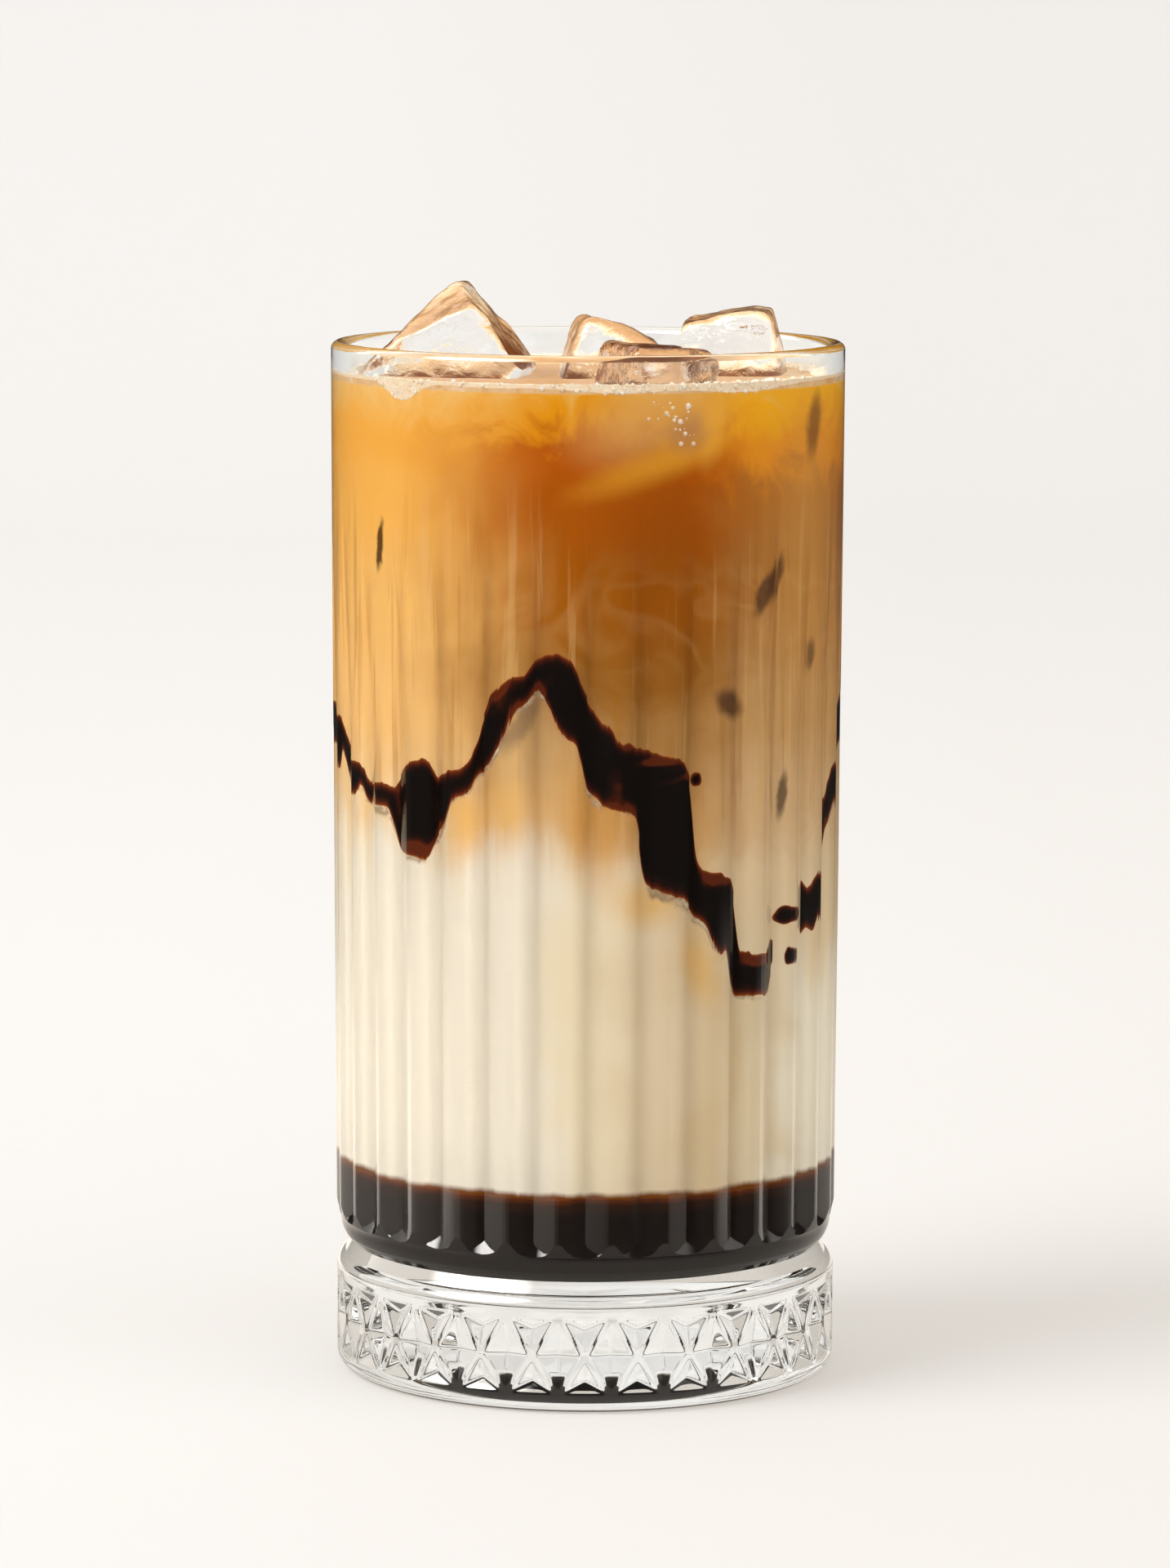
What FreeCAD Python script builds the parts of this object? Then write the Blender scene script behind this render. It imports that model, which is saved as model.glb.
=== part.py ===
import FreeCAD, Part
import Sketcher
import math
import os

# An iced mocha in a tall fluted glass: chocolate syrup, milk and coffee in layers,
# a ribbon of chocolate sauce on the inner wall and four ice cubes that stand out of the drink.
# +Z is up, the origin is the middle of the foot, the front of the glass looks along -Y.

Vector = FreeCAD.Vector

doc = FreeCAD.newDocument("icedMocha")

sheet = doc.addObject("Spreadsheet::Sheet", "sizes")

sizeRows = [
    # the wall of the glass, read as radius and height
    ("rimHeight", 146.0, "top of the lip"),
    ("rimRadius", 36.1, "outside of the lip"),
    ("lipRadius", 1.2, "round of the lip"),
    ("lipStart", 145.14, "height where the lip's round begins"),
    ("rimInside", 33.8, "inside of the lip"),
    ("wallRadius", 35.55, "outer wall at the foot of the flutes"),
    ("wallStart", 24.0, "height of the foot of the flutes"),
    ("chamferRadius", 34.95, "lower edge of the slant under the flutes"),
    ("chamferStart", 21.9, "height of that edge"),
    ("shoulderRound", 4.6, "round from the slant down to the neck"),
    ("neckRadius", 33.3, "narrowest place, above the foot"),
    ("neckHeight", 18.3, "height of the narrowest place"),
    ("collarRadius", 34.2, "small collar on top of the foot"),
    ("collarHeight", 16.6, "height of the collar"),
    ("footRound", 2.6, "round of the foot's upper edge"),
    ("footRadius", 35.4, "outside of the foot"),
    ("footTop", 14.2, "height where the foot turns upright"),
    ("lowerRound", 2.6, "round of the foot's lower edge"),
    ("footStart", 2.4, "height where the lower round ends"),
    ("standRadius", 33.2, "outer edge of the ring it stands on"),
    ("puntRadius", 25.0, "inner edge of that ring"),
    ("puntHeight", 1.4, "rise of the hollow under the foot"),
    ("puntFlat", 21.0, "flat part of that hollow"),
    # the hollow for the drink
    ("floorHeight", 17.4, "inner floor"),
    ("floorRadius", 27.3, "flat part of the inner floor"),
    ("floorRound", 5.7, "round between floor and wall"),
    ("hollowStart", 23.1, "height where the inner wall begins"),
    ("hollowRadius", 33.0, "inner wall there"),
    # flutes
    ("fluteCount", 30, "flutes round the glass"),
    ("fluteDepth", 1.3, "depth of a sharp flute under the crests beside it"),
    ("crestShare", 0.125, "share of the wall between two flutes that is left as a flat crest"),
    ("ridgeStep", 0.03, "how far the crests lie inside the plain wall"),
    ("fluteStart", 21.9, "foot of the small slant that closes a flute"),
    ("fluteFull", 23.64, "from here on the flutes have their full depth"),
    ("fluteEnd", 92.0, "height where the flutes begin to fade"),
    ("fadeEnd", 124.0, "height by which they are gone"),
    ("fadeRise", 1.45, "how far a flute runs out over that height"),
    # diamond cuts round the foot
    ("bandStart", 2.7, "lower edge of the band of diamonds"),
    ("bandEnd", 13.7, "upper edge of the band"),
    ("ribWidth", 0.8, "flat rib between two cuts"),
    ("cutDepth", 1.1, "depth of a cut"),
    # the drink
    ("syrupLevel", 30.0, "top of the chocolate syrup"),
    ("milkLevel", 75.0, "mean top of the milk"),
    ("milkFall", 9.0, "drop of the milk's top from the middle to the right"),
    ("milkWave", 5.0, "height of its wave"),
    ("waveLength", 66.0, "length of that wave"),
    ("waveShift", 6.0, "how far left of the axis the wave is highest"),
    ("backShare", 0.3, "share of the wave that runs from front to back"),
    ("surfaceReach", 42.0, "half width of the sheet that parts milk and coffee"),
    ("surfaceSteps", 14, "steps of that sheet each way"),
    ("surfaceDrop", 100.0, "how far the block under the sheet goes down"),
    ("coffeeLevel", 141.5, "top of the coffee"),
    # sauce
    ("sauceRadius", 32.2, "inner face of the sauce ribbon"),
    ("sauceSteps", 80, "straight steps of the ribbon round the glass"),
    # ice
    ("iceRound", 2.0, "round of the ice's edges"),
    ("iceTaper", 0.9, "inset of a cube's top on each side"),
]

for row, (name, value, note) in enumerate(sizeRows, start=1):
    sheet.set("A%d" % row, note)
    sheet.set("B%d" % row, str(value))
    sheet.setAlias("B%d" % row, name)
doc.recompute()


def size(name):
    return float(sheet.get(name))


def turned(radius, angle, height):
    # a point on a circle about the glass's axis, at an angle in degrees from the front
    way = math.radians(angle - 90.0)
    return Vector(radius * math.cos(way), radius * math.sin(way), height)


def originPlane(body, role):
    for feature in body.Origin.OriginFeatures:
        if feature.Role == role:
            return feature
    raise ValueError("no plane " + role)


def arcBetween(start, end, radius, leftTurn):
    # the short arc from start to end, curving to the left or to the right of the way it goes
    chord = end - start
    middle = (start + end) * 0.5
    rise = math.sqrt(radius ** 2 - (chord.Length / 2.0) ** 2)
    side = Vector(-chord.y, chord.x, 0).normalize()
    if not leftTurn:
        side = side * -1.0
    centre = middle + side * rise
    first = math.atan2(start.y - centre.y, start.x - centre.x)
    last = math.atan2(end.y - centre.y, end.x - centre.x)
    circle = Part.Circle(centre, Vector(0, 0, 1), radius)
    if leftTurn:
        return Part.ArcOfCircle(circle, first, last)
    return Part.ArcOfCircle(circle, last, first)


def hold(sketch, kind, geometry, point, name):
    # ties one coordinate of a point to its cell, or to the axis where the name is None
    if name is None:
        axis = -2 if kind == "DistanceX" else -1
        sketch.addConstraint(Sketcher.Constraint("PointOnObject", geometry, point, axis))
        return
    index = sketch.addConstraint(Sketcher.Constraint(kind, -1, 1, geometry, point, size(name)))
    sketch.setExpression("Constraints[%d]" % index, "sizes." + name)


def turnedBody(name, corners):
    # a body turned from one closed section; each corner is the cells of its radius and height,
    # then the cell of the arc that leads to the next corner and whether it turns left
    body = doc.addObject("PartDesign::Body", name)
    sketch = body.newObject("Sketcher::SketchObject", name + "Section")
    sketch.AttachmentSupport = (originPlane(body, "XZ_Plane"), [""])
    sketch.MapMode = "FlatFace"
    places = []
    for radiusCell, heightCell, arcCell, leftTurn in corners:
        across = size(radiusCell) if radiusCell else 0.0
        height = size(heightCell) if heightCell else 0.0
        places.append(Vector(across, height, 0))
    ends = []
    for index, (radiusCell, heightCell, arcCell, leftTurn) in enumerate(corners):
        start = places[index]
        end = places[(index + 1) % len(places)]
        if arcCell:
            geometry = sketch.addGeometry(arcBetween(start, end, size(arcCell), leftTurn), False)
            ends.append((geometry, 1, 2) if leftTurn else (geometry, 2, 1))
        else:
            geometry = sketch.addGeometry(Part.LineSegment(start, end), False)
            ends.append((geometry, 1, 2))
    for index, (radiusCell, heightCell, arcCell, leftTurn) in enumerate(corners):
        geometry, startPoint, endPoint = ends[index]
        following = ends[(index + 1) % len(ends)]
        join = Sketcher.Constraint("Coincident", geometry, endPoint, following[0], following[1])
        sketch.addConstraint(join)
        hold(sketch, "DistanceX", geometry, startPoint, radiusCell)
        hold(sketch, "DistanceY", geometry, startPoint, heightCell)
        if arcCell:
            bend = sketch.addConstraint(Sketcher.Constraint("Radius", geometry, size(arcCell)))
            sketch.setExpression("Constraints[%d]" % bend, "sizes." + arcCell)
    revolution = body.newObject("PartDesign::Revolution", name + "Turned")
    revolution.Profile = sketch
    revolution.ReferenceAxis = (sketch, ["V_Axis"])
    revolution.Angle = 360.0
    return body


def shaped(name, shape):
    # an object whose shape is worked out here from the sheet
    thing = doc.addObject("Part::Feature", name)
    thing.Shape = shape
    return thing


def combined(kind, name, base, tool):
    thing = doc.addObject("Part::" + kind, name)
    thing.Base = base
    thing.Tool = tool
    return thing


def below(name, level):
    # everything under one level of the drink
    disc = doc.addObject("Part::Cylinder", name)
    disc.Radius = 2.0 * size("rimRadius")
    disc.setExpression("Height", "sizes." + level)
    return disc


# the glass: wall, lip, thick foot and the hollow under it, as one turned section
glassCorners = [
    (None, "puntHeight", None, False),
    ("puntFlat", "puntHeight", None, False),
    ("puntRadius", None, None, False),
    ("standRadius", None, "lowerRound", True),
    ("footRadius", "footStart", None, False),
    ("footRadius", "footTop", "footRound", True),
    ("collarRadius", "collarHeight", None, False),
    ("neckRadius", "neckHeight", "shoulderRound", True),
    ("chamferRadius", "chamferStart", None, False),
    ("wallRadius", "wallStart", None, False),
    ("rimRadius", "lipStart", "lipRadius", True),
    ("rimInside", "lipStart", None, False),
    ("hollowRadius", "hollowStart", "floorRound", False),
    ("floorRadius", "floorHeight", None, False),
    (None, "floorHeight", None, False),
]

# the hollow, as one turned block that the layers of the drink are cut from
hollowCorners = [
    (None, "floorHeight", None, False),
    ("floorRadius", "floorHeight", "floorRound", True),
    ("hollowRadius", "hollowStart", None, False),
    ("rimInside", "lipStart", None, False),
    (None, "lipStart", None, False),
]


def fluteOutline(name, height, growth, closing):
    # the outline of the fluted wall at one height: sharp flutes between narrow flat crests
    slope = (size("rimRadius") - size("wallRadius")) / (size("lipStart") - size("wallStart"))
    crest = size("wallRadius") + slope * (height - size("wallStart")) - size("ridgeStep") + growth
    deep = crest - size("fluteDepth") + closing
    count = int(size("fluteCount"))
    step = 360.0 / count
    halfCrest = 0.5 * size("crestShare") * step
    corners = []
    for index in range(count):
        middle = (index + 0.5) * step
        corners.append(turned(deep, index * step, height))
        corners.append(turned(crest, middle - halfCrest, height))
        corners.append(turned(crest, middle + halfCrest, height))
    return shaped(name, Part.makePolygon(corners + corners[:1]))


def ruledLoft(name, sections):
    loft = doc.addObject("Part::Loft", name)
    loft.Sections = sections
    loft.Solid = True
    loft.Ruled = True
    return loft


def makeFlutes():
    # one long ruled block; a small slant closes each flute below, and each runs out above
    slant = size("fluteDepth") - size("wallRadius") + size("chamferRadius") + 2.0 * size("ridgeStep")
    clear = 3.0 * size("fluteDepth")
    return ruledLoft("flutes", [
        fluteOutline("fluteSectionFoot", -1.0, clear, 0.0),
        fluteOutline("fluteSectionStart", size("fluteStart"), 0.0, slant),
        fluteOutline("fluteSectionFull", size("fluteFull"), 0.0, 0.0),
        fluteOutline("fluteSectionEnd", size("fluteEnd"), 0.0, 0.0),
        fluteOutline("fluteSectionFade", size("fadeEnd"), size("fadeRise"), 0.0),
        fluteOutline("fluteSectionTop", size("rimHeight") + 1.0, 2.0 * size("fadeRise"), 0.0),
    ])


def pyramidCut(corners, apex):
    # a cut with flat sides from an apex in the glass out past the corners on its surface
    reach = 1.09
    outer = []
    for corner in corners:
        outer.append(apex + (corner - apex) * reach)
    cap = sum(outer, Vector(0, 0, 0)) * (1.0 / len(outer))
    away = Vector(cap.x, cap.y, 0).normalize()
    cap = cap + away * (0.5 * size("cutDepth"))
    faces = []
    for index, first in enumerate(outer):
        second = outer[(index + 1) % len(outer)]
        faces.append(Part.Face(Part.makePolygon([apex, first, second, apex])))
        faces.append(Part.Face(Part.makePolygon([cap, second, first, cap])))
    shell = Part.makeShell(faces)
    solid = Part.makeSolid(shell)
    if solid.Volume < 0:
        solid.reverse()
    return solid


def makeDiamondCuts():
    # a lattice of flat ribs is left between diamonds, with triangles above and below them
    count = int(size("fluteCount"))
    step = 360.0 / count
    radius = size("footRadius")
    low = size("bandStart")
    high = size("bandEnd")
    middle = (low + high) / 2.0
    degree = math.radians(1.0) * radius
    slant = math.hypot(0.5 * step * degree, middle - low)
    inAcross = 0.5 * size("ribWidth") * slant / (middle - low) / degree
    inAlong = 0.5 * size("ribWidth") * slant / (0.5 * step * degree)
    bottom = radius - size("cutDepth")
    cuts = []
    for index in range(count):
        gap = (index + 0.5) * step
        cross = index * step
        half = 0.5 * step
        cuts.append(pyramidCut([
            turned(radius, gap, low + inAlong),
            turned(radius, gap + half - inAcross, middle),
            turned(radius, gap, high - inAlong),
            turned(radius, gap - half + inAcross, middle),
        ], turned(bottom, gap, middle)))
        for edge, inward in ((high, -1.0), (low, 1.0)):
            wide = half - inAcross
            cuts.append(pyramidCut([
                turned(radius, cross - wide, edge),
                turned(radius, cross + wide, edge),
                turned(radius, cross, middle - inward * inAlong),
            ], turned(bottom, cross, edge + inward * (high - low) / 6.0)))
    return shaped("diamondCuts", Part.makeCompound(cuts))


glassBlank = turnedBody("glassBlank", glassCorners)
hollow = turnedBody("hollow", hollowCorners)
flutes = makeFlutes()
fluted = combined("Common", "flutedGlass", glassBlank, flutes)
glass = combined("Cut", "glass", fluted, makeDiamondCuts())


def milkTop(across, back):
    # the milk stands highest left of the middle and falls to the right
    fall = size("milkFall") * across / size("hollowRadius")
    wave = size("milkWave") * math.cos(2.0 * math.pi * (across + size("waveShift")) / size("waveLength"))
    ripple = math.sin(2.0 * math.pi * back / size("waveLength"))
    ripple = ripple * size("backShare") * size("milkWave")
    return size("milkLevel") - fall + wave + ripple


def makeUnderMilk():
    # everything under the wavy top of the milk
    reach = size("surfaceReach")
    steps = int(size("surfaceSteps"))
    rows = []
    for backIndex in range(steps + 1):
        back = reach * (2.0 * backIndex / steps - 1.0)
        row = []
        for acrossIndex in range(steps + 1):
            across = reach * (2.0 * acrossIndex / steps - 1.0)
            row.append(Vector(across, back, milkTop(across, back)))
        rows.append(row)
    surface = Part.BSplineSurface()
    surface.interpolate(rows)
    return shaped("underMilk", surface.toShape().extrude(Vector(0, 0, -size("surfaceDrop"))))


# the ribbon of sauce as it runs round the wall: angle from the front (right is positive),
# height of its middle and its width
sauceRoute = [
    (-172, 76, 5), (-158, 92, 9), (-143, 99, 6), (-128, 88, 4), (-112, 80, 8), (-98, 91, 6),
    (-80, 89, 8), (-66, 86, 6), (-53, 84, 4), (-45, 82, 13), (-38, 84, 12), (-31, 88, 5),
    (-21, 95, 8), (-8, 103, 6), (0, 94, 13), (9, 88, 10), (15, 83, 18), (22, 80, 17),
    (28, 71, 9), (35, 66, 13), (42, 60, 7), (50, 62, 4), (62, 68, 8), (75, 79, 7),
    (90, 90, 6), (104, 96, 8), (119, 88, 5), (133, 75, 7), (146, 70, 11), (160, 79, 5),
]


def ribbonStations():
    # the route as a smooth line, once round the glass, cut into even steps
    firstAngle, firstHeight, firstWidth = sauceRoute[0]
    places = sauceRoute + [(firstAngle + 360, firstHeight, firstWidth)]
    line = Part.BSplineCurve()
    line.interpolate([Vector(*place) for place in places])
    return line.discretize(Number=int(size("sauceSteps")) + 1)[:-1]


def makeRibbon():
    # a band with flat facets that runs from inside the drink out past the wall
    rings = []
    for station in ribbonStations():
        angle, height, width = station.x, station.y, station.z
        high = height + width / 2.0
        low = height - width / 2.0
        rings.append([
            turned(size("sauceRadius"), angle, low),
            turned(size("rimRadius"), angle, low),
            turned(size("rimRadius"), angle, high),
            turned(size("sauceRadius"), angle, high),
        ])
    faces = []
    for index, ring in enumerate(rings):
        following = rings[(index + 1) % len(rings)]
        for side in range(4):
            after = (side + 1) % 4
            here, there = ring[side], ring[after]
            ahead, across = following[side], following[after]
            faces.append(Part.Face(Part.makePolygon([here, ahead, across, here])))
            faces.append(Part.Face(Part.makePolygon([here, across, there, here])))
    solid = Part.makeSolid(Part.makeShell(faces))
    if solid.Volume < 0:
        solid.reverse()
    return shaped("ribbon", solid)


# each cube: name, length, depth and height, its middle, then its turns about Z, Y and X
iceCubes = [
    ("ice_left", (19.0, 18.0, 18.5), (-18.3, 1.5, 142.7), (-9.0, 41.0, 4.0)),
    ("ice_middle", (14.5, 14.0, 17.0), (2.2, -1.0, 140.2), (4.0, 19.0, -3.0)),
    ("ice_front", (15.0, 15.5, 17.5), (8.6, -21.0, 138.2), (26.0, 5.0, 4.0)),
    ("ice_right", (16.0, 16.5, 17.5), (20.6, 6.5, 141.4), (-7.0, -7.0, 3.0)),
]


def makeIce(name, edges, middle, turns):
    # a slightly tapered cube with rounded edges
    length, depth, height = edges
    block = doc.addObject("Part::Wedge", name + "_block")
    block.Xmin = -length / 2.0
    block.Xmax = length / 2.0
    block.Ymin = -height / 2.0
    block.Ymax = height / 2.0
    block.Zmin = -depth / 2.0
    block.Zmax = depth / 2.0
    block.setExpression("X2min", "Xmin + sizes.iceTaper * 1 mm")
    block.setExpression("X2max", "Xmax - sizes.iceTaper * 1 mm")
    block.setExpression("Z2min", "Zmin + sizes.iceTaper * 1 mm")
    block.setExpression("Z2max", "Zmax - sizes.iceTaper * 1 mm")
    upright = FreeCAD.Rotation(Vector(1, 0, 0), 90.0)
    turn = FreeCAD.Rotation(turns[0], turns[1], turns[2])
    block.Placement = FreeCAD.Placement(Vector(*middle), turn.multiply(upright))
    doc.recompute()
    cube = doc.addObject("Part::Fillet", name)
    cube.Base = block
    radius = size("iceRound")
    cube.Edges = [(number, radius, radius) for number in range(1, len(block.Shape.Edges) + 1)]
    return cube


ribbon = makeRibbon()
underMilk = makeUnderMilk()
underSyrup = below("underSyrup", "syrupLevel")
underCoffee = below("underCoffee", "coffeeLevel")

syrup = combined("Common", "chocolate_syrup", hollow, underSyrup)
sauce = combined("Common", "chocolate_sauce", hollow, ribbon)

filled = combined("Cut", "drinkAboveSyrup", hollow, underSyrup)
pouredMilk = combined("Common", "milkWhole", filled, underMilk)
milk = combined("Cut", "milk", pouredMilk, ribbon)

levelled = combined("Common", "drinkBelowLevel", filled, underCoffee)
pouredCoffee = combined("Cut", "coffeeWhole", levelled, underMilk)
coffee = combined("Cut", "coffeeRound", pouredCoffee, ribbon)

iceNodes = []
for name, edges, middle, turns in iceCubes:
    cube = makeIce(name, edges, middle, turns)
    iceNodes.append(cube)
    last = "coffee" if name == iceCubes[-1][0] else "coffeeRound_" + name
    coffee = combined("Cut", last, coffee, cube)

doc.recompute()

nodes = [glass, syrup, milk, coffee, sauce] + iceNodes

for thing in doc.Objects:
    if "Invalid" in thing.State or "Error" in thing.State:
        raise RuntimeError("failed: " + thing.Name + " " + str(thing.State))

for node in nodes:
    if node.Shape.isNull() or not node.Shape.isValid():
        raise RuntimeError("bad shape: " + node.Label)
    if len(node.Shape.Solids) != 1:
        raise RuntimeError("not one solid: " + node.Label + " " + str(len(node.Shape.Solids)))

os.makedirs("parts", exist_ok=True)
for node in nodes:
    node.Shape.Solids[0].exportStep("parts/" + node.Label + ".step")
    print(node.Label, round(node.Shape.Volume / 1000.0, 2), "ml")
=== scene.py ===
import math

import bmesh
import bpy
from mathutils import Matrix, Vector, noise


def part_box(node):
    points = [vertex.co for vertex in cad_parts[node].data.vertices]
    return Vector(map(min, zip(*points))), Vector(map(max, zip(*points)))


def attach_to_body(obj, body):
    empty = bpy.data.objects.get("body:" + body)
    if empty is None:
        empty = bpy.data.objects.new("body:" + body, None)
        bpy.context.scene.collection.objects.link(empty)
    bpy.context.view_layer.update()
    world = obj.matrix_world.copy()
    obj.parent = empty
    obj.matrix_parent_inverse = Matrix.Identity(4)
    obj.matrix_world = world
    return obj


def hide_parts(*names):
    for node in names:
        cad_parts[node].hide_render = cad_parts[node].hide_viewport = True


# An iced mocha in a tall fluted glass: syrup, milk and coffee in layers, a ribbon of
# chocolate sauce on the wall, ice, foam and bubbles. Sizes are in millimetres and are
# brought to metres by unit, which follows the height of the glass in the frame.

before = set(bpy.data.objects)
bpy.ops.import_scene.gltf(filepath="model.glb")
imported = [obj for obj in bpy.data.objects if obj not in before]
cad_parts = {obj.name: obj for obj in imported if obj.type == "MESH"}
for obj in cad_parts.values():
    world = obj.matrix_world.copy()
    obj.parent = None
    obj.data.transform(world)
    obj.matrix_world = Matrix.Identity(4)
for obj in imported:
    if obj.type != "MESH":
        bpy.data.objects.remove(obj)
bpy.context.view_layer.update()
body = "root"

glassSizes = {
    "rimHeight": 146.0, "rimRadius": 36.1, "lipRadius": 1.2, "lipStart": 145.14, "rimInside": 33.8,
    "wallRadius": 35.55, "wallStart": 24.0, "chamferRadius": 34.95, "chamferStart": 21.9,
    "shoulderRound": 4.6, "neckRadius": 33.3, "neckHeight": 18.3,
    "collarRadius": 34.2, "collarHeight": 16.6, "footRound": 2.6, "footRadius": 35.4, "footTop": 14.2,
    "lowerRound": 2.6, "footStart": 2.4, "standRadius": 33.2,
    "puntRadius": 25.0, "puntHeight": 1.4, "puntFlat": 21.0,
    "floorHeight": 17.4, "floorRadius": 27.3, "floorRound": 5.7,
    "hollowStart": 23.1, "hollowRadius": 33.0,
    "fluteCount": 30, "fluteDepth": 1.3, "ridgeStep": 0.03,
    "crestRound": 0.25,     # share of a flank that is rounded into the crest
    "ledgeSlope": 0.42, "ledgeSpoon": 0.026,
    "fluteEnd": 92.0, "fadeEnd": 124.0, "fadeRise": 1.45,
    "bandStart": 2.7, "bandEnd": 13.7, "ribWidth": 0.8, "cutDepth": 0.95,
    "bandSplit": 2, "bandRows": 50,
    "fadeUneven": 9.0,      # how unevenly the flutes run out at the top
    "unevenBelow": 30.0, "unevenAbove": 18.0, "unevenScale": 150.0, "unevenMiddle": 0.35,
    "edgeSoftness": 0.1,    # round on the pressed edges of the band
    "creaseAngle": 9.0,     # edges sharper than this stay crisp, above the band
    "softAbove": 0.3, "weld": 0.003, "sectorWeld": 0.004,
}
footLow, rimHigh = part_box("glass")
unit = (rimHigh.z - footLow.z) / glassSizes["rimHeight"]
sectorAngle = 360.0 / glassSizes["fluteCount"]


def tone(red, green, blue):
    # a screen colour, 0 to 255, as the linear colour that shaders take
    channels = []
    for value in (red, green, blue):
        share = value / 255.0
        channels.append(share / 12.92 if share <= 0.04045 else ((share + 0.055) / 1.055) ** 2.4)
    return (*channels, 1.0)


def smoothStep(low, high, value):
    share = min(1.0, max(0.0, (value - low) / (high - low)))
    return share * share * (3.0 - 2.0 * share)


def wayAt(angle):
    # the direction at an angle in degrees from the front, to the right as seen from there
    turn = math.radians(angle)
    return math.sin(turn), -math.cos(turn)


def placeAt(radius, angle, height):
    across, back = wayAt(angle)
    return Vector((radius * across, radius * back, height)) * unit


def addNode(tree, kind, **settings):
    node = tree.nodes.new(kind)
    for name, value in settings.items():
        setattr(node, name, value)
    return node


def feed(tree, socket, value):
    if isinstance(value, bpy.types.NodeSocket):
        tree.links.new(value, socket)
    elif value is not None:
        socket.default_value = value


def doMath(tree, operation, first, second=None, third=None, clamp=False):
    node = addNode(tree, "ShaderNodeMath", operation=operation, use_clamp=clamp)
    for socket, value in zip(node.inputs, (first, second, third)):
        feed(tree, socket, value)
    return node.outputs[0]


def doVector(tree, operation, first, second=None, scale=None):
    node = addNode(tree, "ShaderNodeVectorMath", operation=operation)
    feed(tree, node.inputs[0], first)
    feed(tree, node.inputs[1], second)
    if scale is not None:
        feed(tree, node.inputs["Scale"], scale)
    return node.outputs["Value"] if operation in ("DOT_PRODUCT", "LENGTH") else node.outputs[0]


def remap(tree, value, fromLow, fromHigh, toLow=0.0, toHigh=1.0, smooth=True):
    node = addNode(tree, "ShaderNodeMapRange", clamp=True)
    node.interpolation_type = "SMOOTHSTEP" if smooth else "LINEAR"
    for name, given in (("Value", value), ("From Min", fromLow), ("From Max", fromHigh),
                        ("To Min", toLow), ("To Max", toHigh)):
        feed(tree, node.inputs[name], given)
    return node.outputs["Result"]


def mixColours(tree, factor, first, second):
    node = addNode(tree, "ShaderNodeMix", data_type="RGBA")
    feed(tree, node.inputs["Factor"], factor)
    feed(tree, node.inputs[6], first)
    feed(tree, node.inputs[7], second)
    return node.outputs[2]


def noiseOn(tree, vector, scale, detail=3.0, roughness=0.5, distortion=0.0):
    node = addNode(tree, "ShaderNodeTexNoise")
    feed(tree, node.inputs["Vector"], vector)
    for name, value in (("Scale", scale), ("Detail", detail), ("Roughness", roughness),
                        ("Distortion", distortion)):
        node.inputs[name].default_value = value
    return node.outputs["Fac"]


def stretched(tree, vector, across, along):
    # a pattern drawn out along the height
    return doVector(tree, "MULTIPLY", vector, (across, across, along))


def splitPlace(tree, place):
    node = addNode(tree, "ShaderNodeSeparateXYZ")
    feed(tree, node.inputs[0], place)
    return node.outputs


def rampOf(tree, value, stops):
    node = addNode(tree, "ShaderNodeValToRGB")
    node.color_ramp.interpolation = "EASE"
    elements = node.color_ramp.elements
    while len(elements) > 1:
        elements.remove(elements[-1])
    elements[0].position, elements[0].color = stops[0]
    for position, colour in stops[1:]:
        elements.new(position).color = colour
    feed(tree, node.inputs["Fac"], value)
    return node.outputs["Color"]


def newGroup(name, inputs, outputs):
    group = bpy.data.node_groups.new(name, "ShaderNodeTree")
    for label, kind, value in inputs:
        socket = group.interface.new_socket(name=label, in_out="INPUT", socket_type=kind)
        if value is not None:
            socket.default_value = value
    for label, kind in outputs:
        group.interface.new_socket(name=label, in_out="OUTPUT", socket_type=kind)
    return group, addNode(group, "NodeGroupInput"), addNode(group, "NodeGroupOutput")


def useGroup(tree, group, **values):
    node = addNode(tree, "ShaderNodeGroup", node_tree=group)
    for name, value in values.items():
        feed(tree, node.inputs[name], value)
    return node


def newMaterial(name, **values):
    material = bpy.data.materials.new(name)
    material.use_nodes = True
    tree = material.node_tree
    shader = tree.nodes["Principled BSDF"]
    for label, value in values.items():
        shader.inputs[label].default_value = value
    place = addNode(tree, "ShaderNodeTexCoord").outputs["Object"]
    inMillimetres = doVector(tree, "SCALE", place, scale=1.0 / unit)
    return material, tree, shader, inMillimetres


def bumpFrom(tree, shader, height, distance, strength=1.0):
    # distance is in millimetres
    node = addNode(tree, "ShaderNodeBump")
    node.inputs["Strength"].default_value = strength
    node.inputs["Distance"].default_value = distance * unit
    feed(tree, node.inputs["Height"], height)
    feed(tree, shader.inputs["Normal"], node.outputs["Normal"])


def placePiece(name, mesh):
    piece = bpy.data.objects.new(name, mesh)
    bpy.context.scene.collection.objects.link(piece)
    return piece


def newPiece(name, vertices, faces, material):
    mesh = bpy.data.meshes.new(name)
    mesh.from_pydata(vertices, [], faces)
    mesh.materials.append(material)
    return placePiece(name, mesh)


def setValues(piece, name, values):
    # one number for each point of the piece, which its material or a node tree reads
    attribute = piece.data.attributes.new(name, "FLOAT", "POINT")
    attribute.data.foreach_set("value", values)


def closeRing(grid):
    # faces between closed rows of points, from each row to the next and from the last to the first
    faces = []
    count = len(grid[0])
    for first, second in zip(grid, grid[1:] + grid[:1]):
        for index in range(count):
            following = (index + 1) % count
            faces.append((first[index], second[index], second[following], first[following]))
    return faces


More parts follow.
